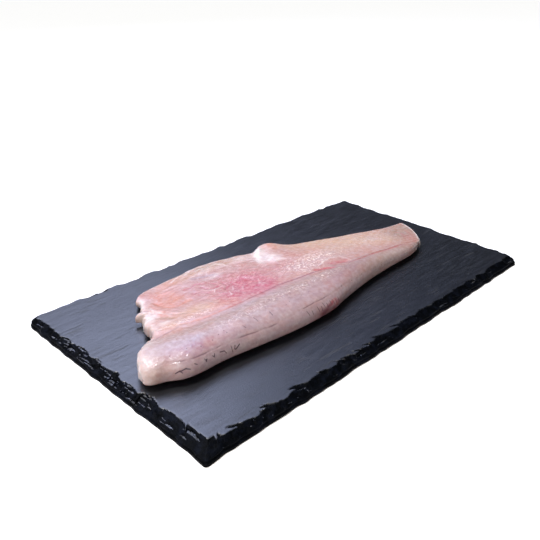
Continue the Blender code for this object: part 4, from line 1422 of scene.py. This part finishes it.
class FilletLook(bpy.types.PropertyGroup):
    """What a user may change on the fillet."""

    relief: number_property(
        "Relief", "Depth of creases, flakes and wrinkles", 1.0, min=0.0, max=2.0, subtype="FACTOR"
    )
    muscle: colour_property("Muscle", "Plain flesh", "#a47971")
    silverskin: colour_property("Silverskin", "Greyish pink of the loin", "#8e736b")
    # Also painted shade: the valley beside the seam and the flakes' gaps
    flank: colour_property("Flank", "Lower side of the loin", "#a38c93")
    # Its bluish tint is partly a painted sheen
    film: colour_property("Film", "Bluish film left on the flesh", "#887c89")
    pink: colour_property("Pink", "Inner side of the belly", "#9f3049")
    # Also partly painted shade in the hollows near the head
    peach: colour_property("Peach", "Fat near the head", "#b36e56")
    cream: colour_property("Cream", "Tail, far half", "#b7906f")
    # On the tail's near half and in the fold's second hollow, this grey is painted shade
    grey: colour_property("Grey", "Tail, near half", "#8c7261")
    # Also painted highlights below the bump, on the fold, along a shred, on the bruise's rim and as glints in
    # the pink
    white: colour_property("White", "Opaque muscle at cuts and edges", "#dacfca")
    blood: colour_property("Blood line", "Red of the bone line and bruises", "#a3363c")
    # Also painted shade on three stretches of the loin
    crease: colour_property("Crease", "Fine line along the loin", "#5e3f49")
    strand: colour_property("Strands", "Pale fibres in the pink", "#dba3a8")
    # Painted highlights on the flakes' raised edges, partly pale flecks of fat
    fleck: colour_property("Flake edges", "Bright edges of the muscle flakes", "#ecdccf")
    pigment: colour_property("Pigment", "Dark hairs", "#3a2a36")


class SlateLook(bpy.types.PropertyGroup):
    """What a user may change on the board."""

    chipping: number_property(
        "Chipping", "Depth of the flake scars", 1.0, min=0.3, max=1.0, subtype="FACTOR"
    )
    slate: colour_property("Slate", "Lighter grain", "#0b0e16")
    slate_dark: colour_property("Slate, dark", "Darker grain", "#05070c")
    # Nearly black: partly painted shade on the chipped edge and in the top's hairline clefts
    broken: colour_property("Broken slate", "Chipped edge", "#030406")


class StageSettings(bpy.types.PropertyGroup):
    """What a user may change in the studio."""

    window: number_property("Window", "Power of the light behind", 15.6, min=0.0, unit="POWER")
    front: number_property("Front", "Power of the light in front", 6.2, min=0.0, unit="POWER")
    side: number_property("Side", "Power of the light on the right", 2.6, min=0.0, unit="POWER")
    overhead: number_property("Overhead", "Strength of the light above", 3.2, min=0.0)
    surround: number_property("Surround", "Strength of the light from all round", 0.05, min=0.0)


class FILLET_OT_add_board(bpy.types.Operator):
    """Model the slate board in place of its solid"""

    bl_idname = "fillet.add_board"
    bl_label = "Slate board"

    def execute(self, context):
        board = make_board(context.scene.slate_look)
        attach(board, "root")
        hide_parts("slate_board")
        return {"FINISHED"}


class FILLET_OT_add_fillet(bpy.types.Operator):
    """Model the fillet in place of its solid"""

    bl_idname = "fillet.add_fillet"
    bl_label = "Zander fillet"

    def execute(self, context):
        fillet = make_fillet(context.scene.fillet_look)
        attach(fillet, "root")
        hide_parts("zander_fillet")
        return {"FINISHED"}


class FILLET_OT_add_stage(bpy.types.Operator):
    """Set the floor, the lights and the camera"""

    bl_idname = "fillet.add_stage"
    bl_label = "Studio"

    def execute(self, context):
        make_stage(context.scene.stage_settings)
        return {"FINISHED"}


class FILLET_PT_panel(bpy.types.Panel):
    """Lists the pieces and their settings"""

    bl_label = "Zander fillet"
    bl_space_type = "VIEW_3D"
    bl_region_type = "UI"
    bl_category = "Fillet"

    def draw(self, context):
        scene = context.scene
        for settings, operator in (
            (scene.slate_look, FILLET_OT_add_board),
            (scene.fillet_look, FILLET_OT_add_fillet),
            (scene.stage_settings, FILLET_OT_add_stage),
        ):
            box = self.layout.box()
            for name in settings.bl_rna.properties.keys():
                if name not in ("rna_type", "name"):
                    box.prop(settings, name)
            box.operator(operator.bl_idname)


CLASSES = (
    FilletLook, SlateLook, StageSettings, FILLET_OT_add_board, FILLET_OT_add_fillet, FILLET_OT_add_stage,
    FILLET_PT_panel,
)


def register():
    """Register the classes and the scene's settings."""
    for item in CLASSES:
        bpy.utils.register_class(item)
    bpy.types.Scene.fillet_look = bpy.props.PointerProperty(type=FilletLook)
    bpy.types.Scene.slate_look = bpy.props.PointerProperty(type=SlateLook)
    bpy.types.Scene.stage_settings = bpy.props.PointerProperty(type=StageSettings)


def unregister():
    """Take the settings and the classes away again."""
    del bpy.types.Scene.fillet_look
    del bpy.types.Scene.slate_look
    del bpy.types.Scene.stage_settings
    for item in reversed(CLASSES):
        bpy.utils.unregister_class(item)


def main():
    """Make the board, the fillet and the studio."""
    register()
    bpy.ops.fillet.add_board()
    bpy.ops.fillet.add_fillet()
    bpy.ops.fillet.add_stage()


if __name__ == "__main__":
    main()
